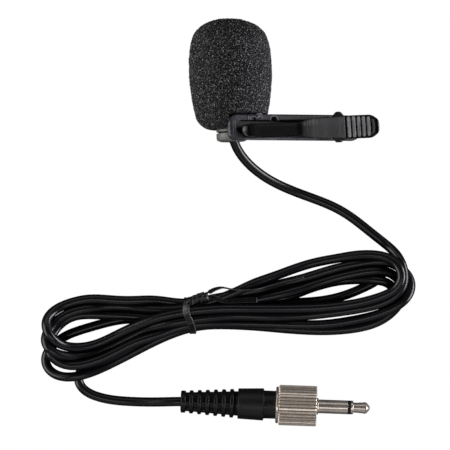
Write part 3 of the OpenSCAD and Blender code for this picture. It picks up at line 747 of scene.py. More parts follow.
def tie():
    band = tie_band()
    n = len(band)
    ctr = band.mean(0)
    nb = band - ctr
    nb[:, 0] *= 0.15
    nb /= np.linalg.norm(nb, axis=1)[:, None]
    cut_ = int(n * 0.93)
    K0 = np.array([*px(191.0, 301.0), 0.0])
    K1 = np.array([*px(206.3, 296.0), 0.0])
    K0[2] = max(lie(K0[0], K0[1], 0.8) + 0.95, 7.0)
    K1[2] = max(lie(K1[0], K1[1], 0.8) + 0.75, 6.6)
    axis = (K1 - K0) / np.linalg.norm(K1 - K0)
    e1 = np.cross(axis, [0, 0, 1.0])
    e1 /= np.linalg.norm(e1)
    e2 = np.cross(e1, axis)
    turns, m = 2.1, 84
    strands = []
    for k in range(2):
        C_, W_ = [], []
        for j in range(m + 1):
            t = j / m
            ph = math.radians(200) + 2 * math.pi * turns * t + math.pi * k + 0.35 * math.sin(2 * math.pi * t)
            rad = 0.5 + 0.62 * float(sstep(0.05, 0.5, t)) - 0.2 * float(sstep(0.85, 1.0, t)) + 0.14 * math.sin(9.0 * t + 2 * k)
            wob = 0.2 * math.sin(7 * t + 1.3)
            r_ = math.cos(ph) * e1 + math.sin(ph) * e2
            C_.append(K0 + (K1 - K0) * t + rad * r_ + wob * e1)
            W_.append(r_)
        strands.append((np.array(C_), np.array(W_)))
    up = np.array([0, 0, 1.0])
    t1 = [(209.0, 292.4, 0.55), (212.5, 290.3, 0.6), (216.5, 288.6, 0.6), (221, 287.7, 0.6), (225.5, 288.0, 0.7), (231, 288.9, 0.75), (238, 289.4, 0.75), (247, 289.5, 0.75),
          (256, 288.8, 0.75), (264, 287.0, 0.75), (274, 284.2, 0.75), (286, 281.0, 0.75), (296, 278.8, 0.75), (304, 277.0, 0.75)]
    t2 = [(210, 297.0, 0.3), (214.5, 297.6, 0.3), (219, 299.2, 0.3), (223.5, 300.6, 0.3), (229, 301.0, 0.3), (237, 300.6, 0.3), (247, 300.2, 0.3), (257.2, 300.0, 0.3)]

    def tail(ctl, zmin, slope):
        P = catmull([(*px(a, b), c) for a, b, c in ctl], 8)
        z = np.array([max(lie(q[0], q[1], 0.45), zmin(q[0])) + q[2] for q in P])
        for _ in range(30):
            z[1:-1] = np.maximum(z[1:-1], (z[:-2] + z[2:]) / 2)
        for _ in range(8):
            z[1:-1] = (z[:-2] + z[2:]) / 2
        P[:, 2] = z
        return P
    T1 = tail(t1, lambda x: np.interp(x, [-19, -15, -12], [6.6, 5.9, 3.0]), 0)
    T2 = tail(t2, lambda x: np.interp(x, [-19, -14, -7], [6.6, 5.2, 4.6]), 0)
    dirs = np.gradient(T1, axis=0)
    sidew = np.cross(dirs, up)
    sidew /= np.linalg.norm(sidew, axis=1)[:, None]
    f = np.clip((T1[:, 0] - px(206, 0)[0]) / 5.0, 0, 1)[:, None]
    N1 = (1 - f) * (0.75 * up - 0.65 * sidew) + f * (0.12 * up - sidew)
    N2 = np.tile(up + np.array([0, 0.95, 0]), (len(T2), 1))
    # painted highlights on the bent and cut edges: the band's right side and its shoulder, little in the knot, faint
    # along the tails; a painted sheen across the band's upper middle

    def painted_highlight_a(x, y, z):
        band_ = (y > 301.5) & (x < 200)
        tail_ = x > 207
        wa = np.where(band_, 0.85, np.where(tail_, np.where(x < 224, 0.6, 0.3), 0.35))
        wb = np.where(band_, 0.25, np.where(tail_, 0.1, 0.3))
        return wa, wb, np.where(z > 3, 0.85, 0) * np.exp(-((y - 307.5) / 5.0) ** 2) * (x < 200)

    # painted highlight weights for the second strand: faint along its tail
    def painted_highlight_b(x, y, z):
        tail_ = x > 208
        return np.where(tail_, 0.05, 0.35), np.where(tail_, 0.4, 0.3), 0 * x
    # strand 0 carries on from the band's top, strand 1 comes up from below
    a_band = band[:cut_][::-1]
    a_n = nb[:cut_][::-1]
    top_run = 26
    o1 = ribbon("tie_strand_a", np.concatenate([band[top_run // 2: cut_][::-1], band[:top_run // 2][::-1], strands[0][0], T1[2:]]),
                np.concatenate([nb[top_run // 2: cut_][::-1], nb[:top_run // 2][::-1], strands[0][1], N1[2:]]), painted_highlight_a)
    up_leg = np.array([band[cut_ - 1], [*px(189.0, 299.0), 5.4], [*px(190.2, 297.4), 7.0], [*px(192.0, 296.3), 8.2], [*px(193.6, 297.8), 8.7]])
    leg = catmull(up_leg, 8)
    o2 = ribbon("tie_strand_b", np.concatenate([leg, strands[1][0][3:], T2[1:]]),
                np.concatenate([np.tile([-0.2, 1.0, 0.2], (len(leg), 1)), strands[1][1][3:], N2[1:]]), painted_highlight_b)
    return join("twist_tie", [o1, o2])


tie_ = tie()
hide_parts("cable_tie")
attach(tie_, "microphone")

# ------------------------------------------------------------------ foam windscreen
mat_foam, nt, bs = new_mat("foam_cells")
v = coords(nt)
# the zone attribute is the depth of the pits in the mesh; deep pits and the centres of the fine cells are darkened:
# painted shade in the pores
pore_shade = N_(nt, "Attribute", attribute_name="zone")
vor = N_(nt, "TexVoronoi", feature="F1", Scale=3.1)
nt.links.new(v, vor.inputs["Vector"])
fine_ = ramp_(nt, vor.outputs["Distance"], [(0.12, 0.22), (0.4, 0.76), (0.7, 1.0)])
n_a = noise_(nt, v, 3.2, 2, 0.6)
n_b = noise_(nt, v, 0.16, 2, 0.5)
mixc = N_(nt, "Math", operation="MULTIPLY")
nt.links.new(fine_, mixc.inputs[0])
nt.links.new(ramp_(nt, n_a, [(0.34, 0.58), (0.52, 0.74), (0.68, 0.97)]), mixc.inputs[1])
mixd = N_(nt, "Math", operation="MULTIPLY")
nt.links.new(mixc.outputs[0], mixd.inputs[0])
nt.links.new(pore_shade.outputs["Fac"], mixd.inputs[1])
add = N_(nt, "Math", operation="MULTIPLY_ADD")
nt.links.new(n_b, add.inputs[0])
add.inputs[1].default_value = 0.05
nt.links.new(mixd.outputs[0], add.inputs[2])
# the base colour runs from near black in the pores to light grey on the highest cell walls: painted shade and painted
# glints
nt.links.new(ramp_(nt, add.outputs[0], [(0.10, (0.0004, 0.0004, 0.0004)), (0.26, (0.0035, 0.003, 0.0032)), (0.46, (0.0205, 0.019, 0.02)), (0.7, (0.066, 0.064, 0.067)), (1.0, (0.5, 0.5, 0.52))]),
             bs.inputs["Base Color"])
bs.inputs["Roughness"].default_value = 0.75
bs.inputs["Specular IOR Level"].default_value = 0.12
bump_(nt, bs, mixc.outputs[0], 0.8, 0.12)

FOAM = [(27.5, 0.0), (27.49, 0.7), (27.46, 1.5), (27.42, 2.4), (27.3, 3.3), (27.12, 4.1), (26.75, 5.3), (26.2, 6.5), (25.5, 7.5), (24.6, 8.4),
        (23.6, 9.1), (22.0, 9.72), (19.5, 10.18), (17.2, 10.42), (15.0, 10.47), (11.9, 10.42), (9.3, 10.16), (6.8, 9.86), (4.3, 9.42),
        (2.6, 9.02), (1.6, 8.6), (0.75, 7.95), (0.15, 7.2), (-0.35, 6.4), (-0.6, 5.6), (-0.7, 4.8), (-0.7, 4.1)]


def foam_mesh():
    prof = resample(catmull(FOAM, 10), 0.14)
    bore = np.array([(-0.2, 4.0), (2.0, 4.0), (8.0, 4.0), (14.3, 4.0), (14.6, 3.6), (14.6, 0.0)])
    seg = 450
    th = np.linspace(0, 2 * math.pi, seg, endpoint=False)
    C_inv = M_CLIP.T @ M_MIC
    rings, verts = [], []
    allp = [(u, r, True) for u, r in prof] + [(u, r, False) for u, r in bore]
    off = Vector((31.7, 11.3, 5.9))
    pit_shade = []
    for u, r, outer in allp:
        if r < 1e-6:
            rings.append([len(verts)])
            verts.append(np.array([0.0, u, 0.0]))
            pit_shade.append(0.5)
            continue
        rings.append(list(range(len(verts), len(verts) + seg)))
        for t in th:
            p = np.array([r * math.cos(t), u, r * math.sin(t)])
            pit_shade.append(0.5)
            if outer:
                q = Vector(p) + off
                d = noise.voronoi(q * 2.7)[0][0]
                g = 0.4 * (d - 0.66) + 0.06 * noise.noise(q * 2.7) + 0.09 * noise.noise(q * 0.35) + 0.05 * noise.noise(q * 1.2)
                # pit depth at this vertex, kept for painting the pits dark as shade
                pit_shade[-1] = min(max((d - 0.14) / 0.46, 0.0), 1.0)
                g *= min(1.0, max(0.0, (r - 4.3) / 1.0)) if u < 0 else 1.0
                nrm = np.array([math.cos(t), 0.0, math.sin(t)])
                k = min(max((u - 20.0) / 7.5, 0.0), 1.0)
                nrm = nrm * math.cos(k * 1.4) + np.array([0, math.sin(k * 1.4), 0])
                p = p + nrm * g
                # the bulb sits a little lower on the clip's side
                p[1] -= float(sstep(15.0, 24.0, u)) * (0.1 + 0.36 * float(sstep(-2.5, 7.0, p[0])))
                # the clip presses the foam back
                c = C_inv @ p
                ex = max(-4.3 - c[0], 0.0)
                ey = max(abs(c[1] - CLIP_Y) - 3.2, 0.0)
                e = math.hypot(ex, ey)
                lid = 5.05 + 5.5 * e + 1.5 * e * e
                if c[2] > lid - 0.6:
                    z = c[2]
                    k2 = 0.6
                    h = min(max(0.5 + 0.5 * (lid - z) / k2, 0.0), 1.0)
                    z = lid + (z - lid) * h - k2 * h * (1 - h)
                    c = np.array([c[0], c[1], z])
                    p = C_inv.T @ c
            verts.append(p)
    faces = []
    for i in range(len(rings) - 1):
        a, b = rings[i], rings[i + 1]
        for k in range(seg):
            k2 = (k + 1) % seg
            if len(a) == 1:
                faces.append((a[0], b[k2], b[k]))
            elif len(b) == 1:
                faces.append((a[k], a[k2], b[0]))
            else:
                faces.append((a[k], a[k2], b[k2], b[k]))
    V = np.array(verts) @ M_MIC.T + MIC_P
    V[:, 2] = np.maximum(V[:, 2], 0.01)
    ob = mesh_obj("windscreen_foam", V, faces, mat=mat_foam)
    ob.data.attributes.new("zone", "FLOAT", "POINT").data.foreach_set("value", np.array(pit_shade, np.float32))
    outward(ob)
    return ob


foam = foam_mesh()
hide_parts("windscreen")
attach(foam, "screen")

# ------------------------------------------------------------------ microphone barrel
mat_barrel = metal("barrel_satin", (0.17, 0.166, 0.16), (0.22, 0.216, 0.205), rough=(0.48, 0.58), grain=0.8, metallic=0.3,
                   streak=((0.6, 14, 0.6), (0, 0, 0)), bump=0.12, bump_mm=0.006)
PL_MIC = (MIC_P, AX_MIC)
barrel = revolve("barrel_tube", fillet([(-2.92, 3.25), (-2.92, 3.95, 0.05), (-1.68, 3.95, 0.03), (-1.66, 3.45, 0.02), (-1.29, 3.45, 0.02), (-1.27, 3.95, 0.04),
                                        (12.5, 3.95, 0.06), (12.5, 3.25, 0.05), (-2.92, 3.25)][:-1]), PL_MIC, 128, mat_barrel)
cap = revolve("barrel_cap", fillet([(-3.72, 1.25, 0.1), (-3.74, 3.1, 0.5), (-3.35, 3.86, 0.35), (-2.95, 3.95, 0.03), (-2.95, 3.25, 0.02), (-1.6, 3.25, 0.1),
                                    (-1.6, 2.4, 0.1), (-3.3, 2.4, 0.1), (-3.3, 1.25, 0.05)]), PL_MIC, 128, mat_barrel)
# the fine groove is painted black as shade
barrel.data.materials.append(moulded("groove_painted_shade", (0.003, 0.003, 0.003), (0.006, 0.006, 0.006), rough=(0.5, 0.62), grain=3, spec=0.2))
for f in barrel.data.polygons:
    w = AX_MIC.T @ (np.array(f.center) / MM - MIC_P)
    if -1.72 < w[2] < -1.24 and math.hypot(w[0], w[1]) < 3.9:
        f.material_index = 1
for o, n_ in ((barrel, "mic_housing"), (cap, "mic_end_cap")):
    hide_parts(n_)
    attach(o, "microphone")

# ------------------------------------------------------------------ clip
mat_tray, nt, bs = new_mat("clip_tray_plastic")
v = coords(nt)
g1 = noise_(nt, v, 3.2, 3, 0.65)
zone = N_(nt, "Attribute", attribute_name="zone")
tone = N_(nt, "Math", operation="MULTIPLY")
nt.links.new(ramp_(nt, zone.outputs["Fac"], [(0.0, 0.0), (1.0, 1.0)]), tone.inputs[0])
nt.links.new(ramp_(nt, g1, [(0.3, 0.5), (0.7, 1.08)]), tone.inputs[1])
# the zone value sets the base colour: painted shade in the hollow, painted highlights on raised marks and rim edges
nt.links.new(ramp_(nt, tone.outputs[0], [(0.12, (0.003, 0.003, 0.0035)), (0.6, (0.046, 0.044, 0.055)), (1.0, (0.22, 0.22, 0.23))]), bs.inputs["Base Color"])
nt.links.new(ramp_(nt, g1, [(0.3, 0.3), (0.7, 0.44)]), bs.inputs["Roughness"])
bump_(nt, bs, g1, 0.5, 0.03)
bs.inputs["Specular IOR Level"].default_value = 0.4

mat_lever, nt, bs = new_mat("clip_lever_plastic")
v = coords(nt)
zone = N_(nt, "Attribute", attribute_name="zone")
mp = nt.nodes.new("ShaderNodeMapping")
mp.inputs["Scale"].default_value = (2.3, 0.2, 2.3)
nt.links.new(v, mp.inputs[0])
line = noise_(nt, mp.outputs[0], 1.0, 2, 0.5)
g2 = noise_(nt, v, 3.0, 3, 0.6)
vary = N_(nt, "Math", operation="MULTIPLY")
nt.links.new(ramp_(nt, line, [(0.35, 0.62), (0.65, 1.0)]), vary.inputs[0])
nt.links.new(ramp_(nt, g2, [(0.3, 0.86), (0.7, 1.0)]), vary.inputs[1])
tone = N_(nt, "Math", operation="MULTIPLY")
nt.links.new(zone.outputs["Fac"], tone.inputs[0])
nt.links.new(vary.outputs[0], tone.inputs[1])
# the zone value raises the base colour: a painted glint, painted highlights on edges and rib tops, and the hump's
# lighter matte tone with painted light on it
nt.links.new(ramp_(nt, tone.outputs[0], [(0.0, (0.0025, 0.0025, 0.0026)), (0.4, (0.026, 0.0257, 0.026)), (0.9, (0.26, 0.257, 0.26))]), bs.inputs["Base Color"])
nt.links.new(ramp_(nt, zone.outputs["Fac"], [(0.0, 0.22), (0.4, 0.48), (1.0, 0.45)]), bs.inputs["Roughness"])
lb = bump_(nt, None, line, 0.25, 0.03)
bump_(nt, bs, g2, 0.35, 0.05, lb)
bs.inputs["Specular IOR Level"].default_value = 0.28


def zones(ob, place, f):
    """writes a per-vertex value worked out from a piece's own coordinates."""
    co = np.zeros(len(ob.data.vertices) * 3)
    ob.data.vertices.foreach_get("co", co)
    L = (co.reshape(-1, 3) / MM - place[0]) @ place[1]
    a = ob.data.attributes.new("zone", "FLOAT", "POINT")
    a.data.foreach_set("value", np.clip(f(L[:, 0], L[:, 1], L[:, 2]), 0, 1).astype(np.float32))


PL_CLIP = (MIC_P + M_CLIP @ np.array([0, CLIP_Y, 0.0]), M_CLIP)
PX_, PZ_ = 26.6, 7.6
SKEW = math.radians(2.25)


def tray_field(x, y, z):
    side = poly_sd(*np.broadcast_arrays(x, z), [(-4.45, 5.95), (-4.25, 5.55), (-3.75, 5.32), (32.6, 5.32), (33.3, 5.6), (33.5, 6.0), (33.3, 6.45),
                   (32.7, 6.65), (PX_ + 3.0, 6.65), (PX_ + 2.0, 7.1), (PX_ + 1.5, PZ_), (PX_ - 1.5, PZ_), (PX_ - 2.4, 7.75), (19, 7.75), (9, 7.7),
                   (4, 7.45), (0.5, 7.15), (-2.5, 7.05), (-3.95, 6.9), (-4.4, 6.6)])
    side = smin(side, np.hypot(x - PX_, z - PZ_) - 1.5, 0.2)
    dx, dy = np.maximum(-(x + 2.5), 0), np.maximum(np.abs(y) - 1.25, 0)
    nose = np.hypot(dx, dy) - 2.0
    tail = np.hypot(np.maximum(x - 30.9, 0), y) - 3.25
    plan = np.maximum(np.where(x < 14, nose, tail), np.abs(y) - 3.25)
    body = smax(side, plan, 0.5)
    # stop on the side next to the foam, with two pips
    stop = np.maximum(np.maximum(np.abs(x - 4.0) - 0.8, np.abs(y - 3.3) - 0.42), np.abs(z - 6.45) - 0.8)
    body = smin(body, smax(stop, stop + 0 * x, 0.25), 0.15)
    for cx, cy in ((3.55, 2.75), (4.35, 2.35)):
        body = smin(body, np.sqrt((x - cx) ** 2 + (y - cy) ** 2 + (z - 7.45) ** 2) - 0.26, 0.12)
    # seam across the rim and into the hollow
    seam = np.maximum(np.maximum(np.abs(x - 0.78) - 0.09, np.abs(y - 1.75) - 1.2), np.abs(z - 7.1) - 0.28)
    body = smin(body, seam, 0.1)
    hollow = np.hypot(np.maximum(-(x + 0.83), 0), y) - 1.67
    hollow = smax(np.maximum(hollow, x - 30.9), 6.12 - z + 0 * x, 0.2)
    # notch and arch in the rim
    notch = np.maximum(np.hypot((x - 2.35) / 1.15, y - 1.75) - 0.72, 6.7 - z)
    hollow = smin(hollow, notch, 0.15)
    arch = np.maximum(np.hypot(x - 7.95, y - 1.75) - 0.82, 6.7 - z)
    hollow = smin(hollow, arch, 0.12)
    body = smax(body, -hollow, 0.28)
    lip = np.hypot(np.hypot(x - 7.95, y - 1.75) - 1.12, z - 7.62) - 0.16
    lip = np.maximum(lip, 1.62 - y)
    body = smin(body, lip, 0.12)
    groove = np.hypot(np.hypot(x - 7.95, y - 1.75) - 1.42, z - 7.78) - 0.13
    body = smax(body, -np.maximum(groove, 1.9 - y), 0.06)
    # gripping teeth across the nose
    for i in range(3):
        g = np.maximum(np.maximum(np.abs(x + 3.8 - i * 0.55) - 0.1, 6.93 - z), np.abs(y) - 1.7)
        body = smax(body, -g, 0.08)
    # shallow parting step along the outer wall
    step = np.maximum(np.abs(z - 6.1) - 0.07, 3.19 - np.abs(y) + 0 * x)
    body = smax(body, -np.maximum(step, np.maximum(9.5 - x, x - 25.0)), 0.05)
    return np.maximum(body, -(np.hypot(x - PX_, z - PZ_) - 0.75))


tray = field_solid("clip_tray", tray_field, (-4.9, -3.6, 4.9), (34.0, 4.1, 9.6), 0.09, PL_CLIP, mat_tray, 1)
# base tone of the tray: the hollow is painted dark as shade, the front part is lighter, and the outer walls are darker
# below the parting step; the other terms are painted highlights
def tray_zone(x, y, z):
    f = (0.27 + 0.35 * (1 - sstep(8.6, 9.8, x))) * np.where(np.abs(y) < 1.85, sstep(6.85, 7.05, z - 0.012 * x), sstep(5.9, 6.3, z) * 0.6 + 0.4)
    # painted highlight on the stop
    hi = sstep(2.1, 2.5, y) * sstep(6.7, 6.9, z) * sstep(3.0, 3.3, x) * (1 - sstep(4.7, 5.0, x)) * 0.35
    # painted highlight along the arch lip
    arch_highlight = np.exp(-((np.hypot(x - 7.95, y - 1.75) - 1.1) / 0.16) ** 2) * sstep(7.5, 7.65, z) * sstep(1.5, 1.8, y) * 0.6
    # painted highlight along the seam ridge
    seam = np.exp(-((x - 0.78) / 0.12) ** 2) * sstep(1.2, 1.5, y) * sstep(7.1, 7.3, z) * (1 - sstep(2.9, 3.0, y)) * 0.55
    # painted highlight on the notch edge
    notch_highlight = np.exp(-((np.hypot((x - 2.35) / 1.15, y - 1.75) - 0.82) / 0.12) ** 2) * sstep(6.9, 7.2, z) * sstep(1.4, 1.7, y) * 0.5
    # painted highlights along the lower front rim, near the nose and at the tail
    low_edge_highlight = sstep(2.7, 3.0, -y) * sstep(6.4, 6.8, z) * sstep(-1.0, 1.0, x) * (1 - sstep(19.5, 21.0, x)) * 0.6
    low_edge_highlight_2 = sstep(2.7, 3.0, -y) * sstep(5.9, 6.2, z) * sstep(28.0, 28.8, x) * (1 - sstep(31.0, 32.0, x)) * 0.4
    # painted highlight on the nose's outer edge
    nose_rim_highlight = sstep(3.8, 4.25, -x) * sstep(5.3, 5.8, z) * 0.95 * (1 - sstep(1.5, 2.5, -y))
    return f + hi + arch_highlight + seam + notch_highlight + low_edge_highlight + low_edge_highlight_2 + nose_rim_highlight


zones(tray, PL_CLIP, tray_zone)
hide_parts("clip_base")
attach(tray, "clip")

M_LEV = M_CLIP @ rz(SKEW)
PL_LEV = (PL_CLIP[0] + M_CLIP @ (np.array([PX_, -0.1, 0]) - rz(SKEW) @ np.array([PX_, 0, 0.0])), M_LEV)


def lever_field(x, y, z):
    X2, Z2 = np.broadcast_arrays(x, z)
    neck = poly_sd(X2, Z2, [(-1.4, 7.5), (-1.1, 7.22), (1.1, 7.22), (1.9, 7.75), (4, 8.2), (14, 8.65), (22, 9.05), (PX_ - 2, 9.28), (PX_, 9.28),
                            (30.4, 9.75), (30.4, 10.3), (PX_, 10.25), (14.2, 9.95), (6, 9.6), (3, 9.48), (1.2, 9.44), (0.2, 9.38), (-0.5, 9.12), (-1.0, 8.6), (-1.3, 8.0)])
    plan = np.maximum(np.hypot(np.maximum(0.4 - x, 0), y) - 1.8, np.abs(y) - 1.8)
    neck = smax(neck, plan, 0.55)
    back = poly_sd(X2, Z2, [(13.2, 9.4), (15.4, 9.4), (24, 9.5), (PX_ + 2, 9.72), (33.3, 10.38), (35.9, 10.75), (36.35, 11.0), (36.5, 11.4),
                            (36.2, 11.78), (35.75, 11.85), (35.3, 11.5), (27.3, 10.52), (27.05, 10.52), (26.95, 10.9), (26.5, 11.13), (24.5, 11.14), (20, 11.02),
                            (17.0, 10.84), (15.6, 10.62), (14.6, 10.2), (13.2, 9.7)])
    half = np.interp(np.ravel(x), [11.8, 12.8, 13.6, 14.6, 15.6, 17.4, 20, 24.5, 27, 40], [0.3, 1.1, 1.5, 1.8, 2.12, 2.46, 2.7, 2.83, 2.97, 2.97]).reshape(np.shape(x))
    pl2 = np.where(x > 33.53, np.hypot(np.maximum(x - 33.53, 0), y) - 2.97, np.abs(y) - half)
    back = smax(back, pl2, 0.45)
    d = smin(neck, back, 0.3)
    lug = smin(np.hypot(x - PX_, z - PZ_) - 1.42, np.maximum(np.maximum(np.abs(x - PX_) - 1.9, PZ_ - z), z - 9.8), 0.3)
    lug = np.maximum(lug, np.maximum(np.abs(y) - 1.42, 1.0 - np.abs(y)))
    d = smin(d, lug, 0.1)
    # ribs of the finger pad, square-shouldered with round ends
    sl = 0.155 / 1.35
    top = z - (11.26 + (x - 27.67) * sl)
    for i in range(6):
        cx = 27.67 + i * 1.35
        L = [2.72, 2.7, 2.66, 2.6, 2.5, 1.95][i]
        w = 0.47 if i < 5 else 0.42
        bow = 0.0 if i < 5 else 0.09
        ry_ = np.maximum(np.abs(y) - (L - w), 0)
        rib = np.hypot(x - cx + bow * y * y, ry_) - w
        rib = smax(rib, np.maximum(top - (0.0 if i < 5 else -0.1), -top - 1.2), 0.16)
        d = smin(d, rib, 0.06)
    d = np.maximum(d, -(np.hypot(x - PX_, z - PZ_) - 0.82))
    for i in range(2):
        g = np.maximum(np.abs(x + 0.3 - i * 0.62) - 0.12, z - 7.42)
        d = smax(d, -g, 0.06)
    return d


lever = field_solid("clip_lever_arm", lever_field, (-1.8, -3.3, 5.9), (37.0, 3.3, 12.4), 0.08, PL_LEV, mat_lever, 1)
# per-vertex tone of the lever
def lever_zone(x, y, z):
    # painted glint on the nose tip
    nose = 0.95 * (1 - sstep(-1.0, -0.35, x)) * sstep(-0.7, 0.3, y) * (1 - sstep(1.0, 1.5, y)) * sstep(7.6, 8.0, z)
    # painted highlight along the nose's lower left edge
    low_edge_highlight = 0.4 * sstep(1.3, 1.6, -y) * (1 - sstep(0.8, 1.6, x)) * sstep(-1.2, -0.6, x) * sstep(7.8, 8.1, z)
    # the hump is lighter matte plastic; its fall-off towards the rear and its lighter +y side are painted light
    hump = (0.6 * sstep(14.1, 15.2, x + 0.075 * y * y) * (1 - 0.5 * sstep(16.5, 23.0, x)) * (1 - 0.35 * sstep(23.0, 26.6, x)) * sstep(9.9, 10.4, z) * (1 - sstep(26.5, 26.7, x))
            * (0.75 + 0.25 * sstep(0.3, 1.2, y)))
    # painted highlights on the rib tops, weaker on the last rib
    ribs = np.where(x > 26.9, 0.93 * sstep(-0.3, -0.08, z - (11.26 + (x - 27.67) * 0.155 / 1.35)) * (1 - 0.5 * sstep(33.7, 34.0, x)), 0)
    # a faint painted highlight on the neck's +y side
    neck = 0.1 * sstep(0.6, 1.7, y) * (1 - sstep(13.0, 14.5, x)) * sstep(0.5, 3.0, x)
    return nose + low_edge_highlight + hump + ribs + neck


zones(lever, PL_LEV, lever_zone)
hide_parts("clip_lever")
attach(lever, "lever")

# hinge pin: domed head on the foam side, peened stub on the other
mat_pin = metal("pin_steel", (0.035, 0.035, 0.036), (0.07, 0.07, 0.072), rough=(0.22, 0.4), grain=2.0, metallic=0.6)
pin = revolve("hinge_pin", fillet([(-3.72, 0.0), (-3.72, 0.72, 0.12), (-3.52, 0.93, 0.1), (-3.26, 0.93, 0.05), (-3.26, 0.75), (3.26, 0.75), (3.26, 1.22, 0.04), (3.4, 1.22, 0.1),
                                   (3.62, 1.0, 0.2), (3.93, 0.72, 0.3), (4.08, 0.3, 0.3), (4.1, 0.0)]),
              (PL_CLIP[0] + M_CLIP @ np.array([PX_, 0, PZ_]), M_CLIP @ np.array([[1, 0, 0], [0, 0, 1], [0, -1, 0]], float)), 64, mat_pin)
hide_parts("clip_hinge_pin")
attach(pin, "clip")

# ------------------------------------------------------------------ plug
mat_boot = moulded("boot_rubber", (0.0025, 0.0025, 0.0031), (0.0062, 0.0062, 0.0074), rough=(0.3, 0.4), grain=1.0, bump=0.25, bump_mm=0.01, fine=8.0)
mat_handle = moulded("handle_plastic", (0.002, 0.002, 0.0028), (0.0055, 0.0055, 0.0072), rough=(0.3, 0.52), grain=1.8, bump=0.8, bump_mm=0.04, fine=4.2, spec=0.42)
mat_nickel = metal("nickel_plate", (0.62, 0.545, 0.47), (0.78, 0.70, 0.62), rough=(0.18, 0.26), grain=0.8, bump=0.03, bump_mm=0.003, metallic=0.78, fine=4.0)
mat_nut, nt, bs = new_mat("nut_nickel")
v = coords(nt)
mp = nt.nodes.new("ShaderNodeMapping")
mp.inputs["Rotation"].default_value = (0, -PLUG_TILT, PLUG_YAW)
mp.inputs["Scale"].default_value = (0.35, 6, 6)
nt.links.new(v, mp.inputs[0])
g3 = noise_(nt, v, 1.1, 4)
g4 = noise_(nt, mp.outputs[0], 10.0, 4, 0.6)
knurl_shade = N_(nt, "Attribute", attribute_name="zone")
# the knurl grooves are mixed towards a dark brown: painted shade
mixn = N_(nt, "Mix", data_type="RGBA", blend_type="MIX")
nt.links.new(ramp_(nt, knurl_shade.outputs["Fac"], [(0.15, 0.0), (0.8, 0.7)]), mixn.inputs[0])
nt.links.new(ramp_(nt, g3, [(0.3, (0.62, 0.53, 0.445)), (0.75, (0.84, 0.745, 0.645))]), mixn.inputs[6])
mixn.inputs[7].default_value = (0.12, 0.1, 0.085, 1)
nt.links.new(mixn.outputs[2], bs.inputs["Base Color"])
nt.links.new(ramp_(nt, g4, [(0.25, 0.24), (0.75, 0.36)]), bs.inputs["Roughness"])
bs.inputs["Metallic"].default_value = 0.66
bump_(nt, bs, g4, 0.2, 0.01)
mat_ins = moulded("insulator", (0.006, 0.006, 0.006), (0.01, 0.01, 0.01), rough=(0.5, 0.62), grain=2, spec=0.25)
PL_PLUG = (PLUG_P, AX_PLUG)

handle = revolve("plug_grip", fillet([(14.5, 2.6), (14.5, 3.72, 0.12), (14.62, 3.86, 0.2), (20.98, 4.1, 0.12), (21.08, 3.66, 0.05), (21.2, 3.55, 0.06),
                                      (24.1, 3.55, 0.03), (24.1, 2.0), (22.0, 2.0), (22.0, 2.6)]), PL_PLUG, 128, mat_handle)
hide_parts("plug_handle")
body_ = revolve("plug_flange_body", fillet([(22.0, 1.15), (22.0, 2.0), (24.1, 2.0), (24.1, 4.35, 0.1), (24.28, 4.65, 0.1), (24.62, 4.65, 0.08), (24.8, 4.5, 0.05),
                                            (24.8, 2.6), (33.9, 2.6, 0.1), (33.9, 2.15), (34.9, 2.05, 0.12), (34.9, 1.77), (33.9, 1.77), (33.9, 1.15)]), PL_PLUG, 128, mat_nickel)
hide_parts("plug_body")
sleeve = revolve("plug_sleeve_contact", fillet([(33.9, 1.15), (33.9, 1.75), (42.37, 1.75, 0.02), (42.4, 1.72, 0.01), (42.4, 1.15)]), PL_PLUG, 96, mat_nickel)
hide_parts("sleeve_contact")
ins = revolve("plug_insulator", fillet([(42.4, 0.6), (42.4, 1.75, 0.02), (43.2, 1.75, 0.02), (43.2, 0.6)]), PL_PLUG, 96, mat_ins)
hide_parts("insulator_ring")
tip = revolve("plug_tip", fillet([(43.2, 0.0), (43.2, 1.75, 0.02), (43.66, 1.74, 0.08), (43.86, 1.27, 0.08), (44.6, 1.29, 0.2), (46.2, 1.4, 0.3), (46.75, 1.5, 0.15), (47.15, 1.32, 0.2),
                                  (47.7, 0.72, 0.2), (47.93, 0.38, 0.15), (47.98, 0.0)]), PL_PLUG, 96, mat_nickel)
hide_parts("tip_contact")


def knurled_nut():
    seg = 36 * 10
    prof = fillet([(24.86, 2.65), (24.86, 4.84, 0.08), (25.1, 5.12, 0.1), (34.22, 5.12, 0.12), (34.45, 4.98, 0.1), (34.5, 4.4, 0.1), (34.5, 3.98, 0.08), (33.95, 3.6, 0.05),
                   (33.5, 3.6), (27.0, 3.6), (27.0, 2.65)])
    # plain bore inside; the knurl ridges are cut into the outer surface
    verts, rings, deep = [], [], []
    for u, r in prof:
        ring = []
        for k in range(seg):
            t = 2 * math.pi * k / seg
            rr, dp = r, 0.0
            if r > 4.5:
                ph = (t * 36 / (2 * math.pi)) % 1.0
                dp = max(0.0, 1 - abs(ph - 0.5) / 0.25) ** 0.8
                rr = r - 0.3 * dp * min(1.0, (r - 4.5) / 0.3)
            deep.append(dp)
            ring.append(len(verts))
            verts.append(PLUG_P + AX_PLUG @ np.array([rr * math.cos(t), rr * math.sin(t), u]))
        rings.append(ring)
    faces = []
    n = len(rings)
    for i in range(n):
        a, b = rings[i], rings[(i + 1) % n]
        for k in range(seg):
            k2 = (k + 1) % seg
            faces.append((a[k], a[k2], b[k2], b[k]))
    ob = mesh_obj("knurled_nut", verts, faces, sharp=28, mat=mat_nut)
    ob.data.attributes.new("zone", "FLOAT", "POINT").data.foreach_set("value", np.array(deep, np.float32))
    outward(ob)
    return ob


nut = knurled_nut()
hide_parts("locking_nut")
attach(nut, "nut")


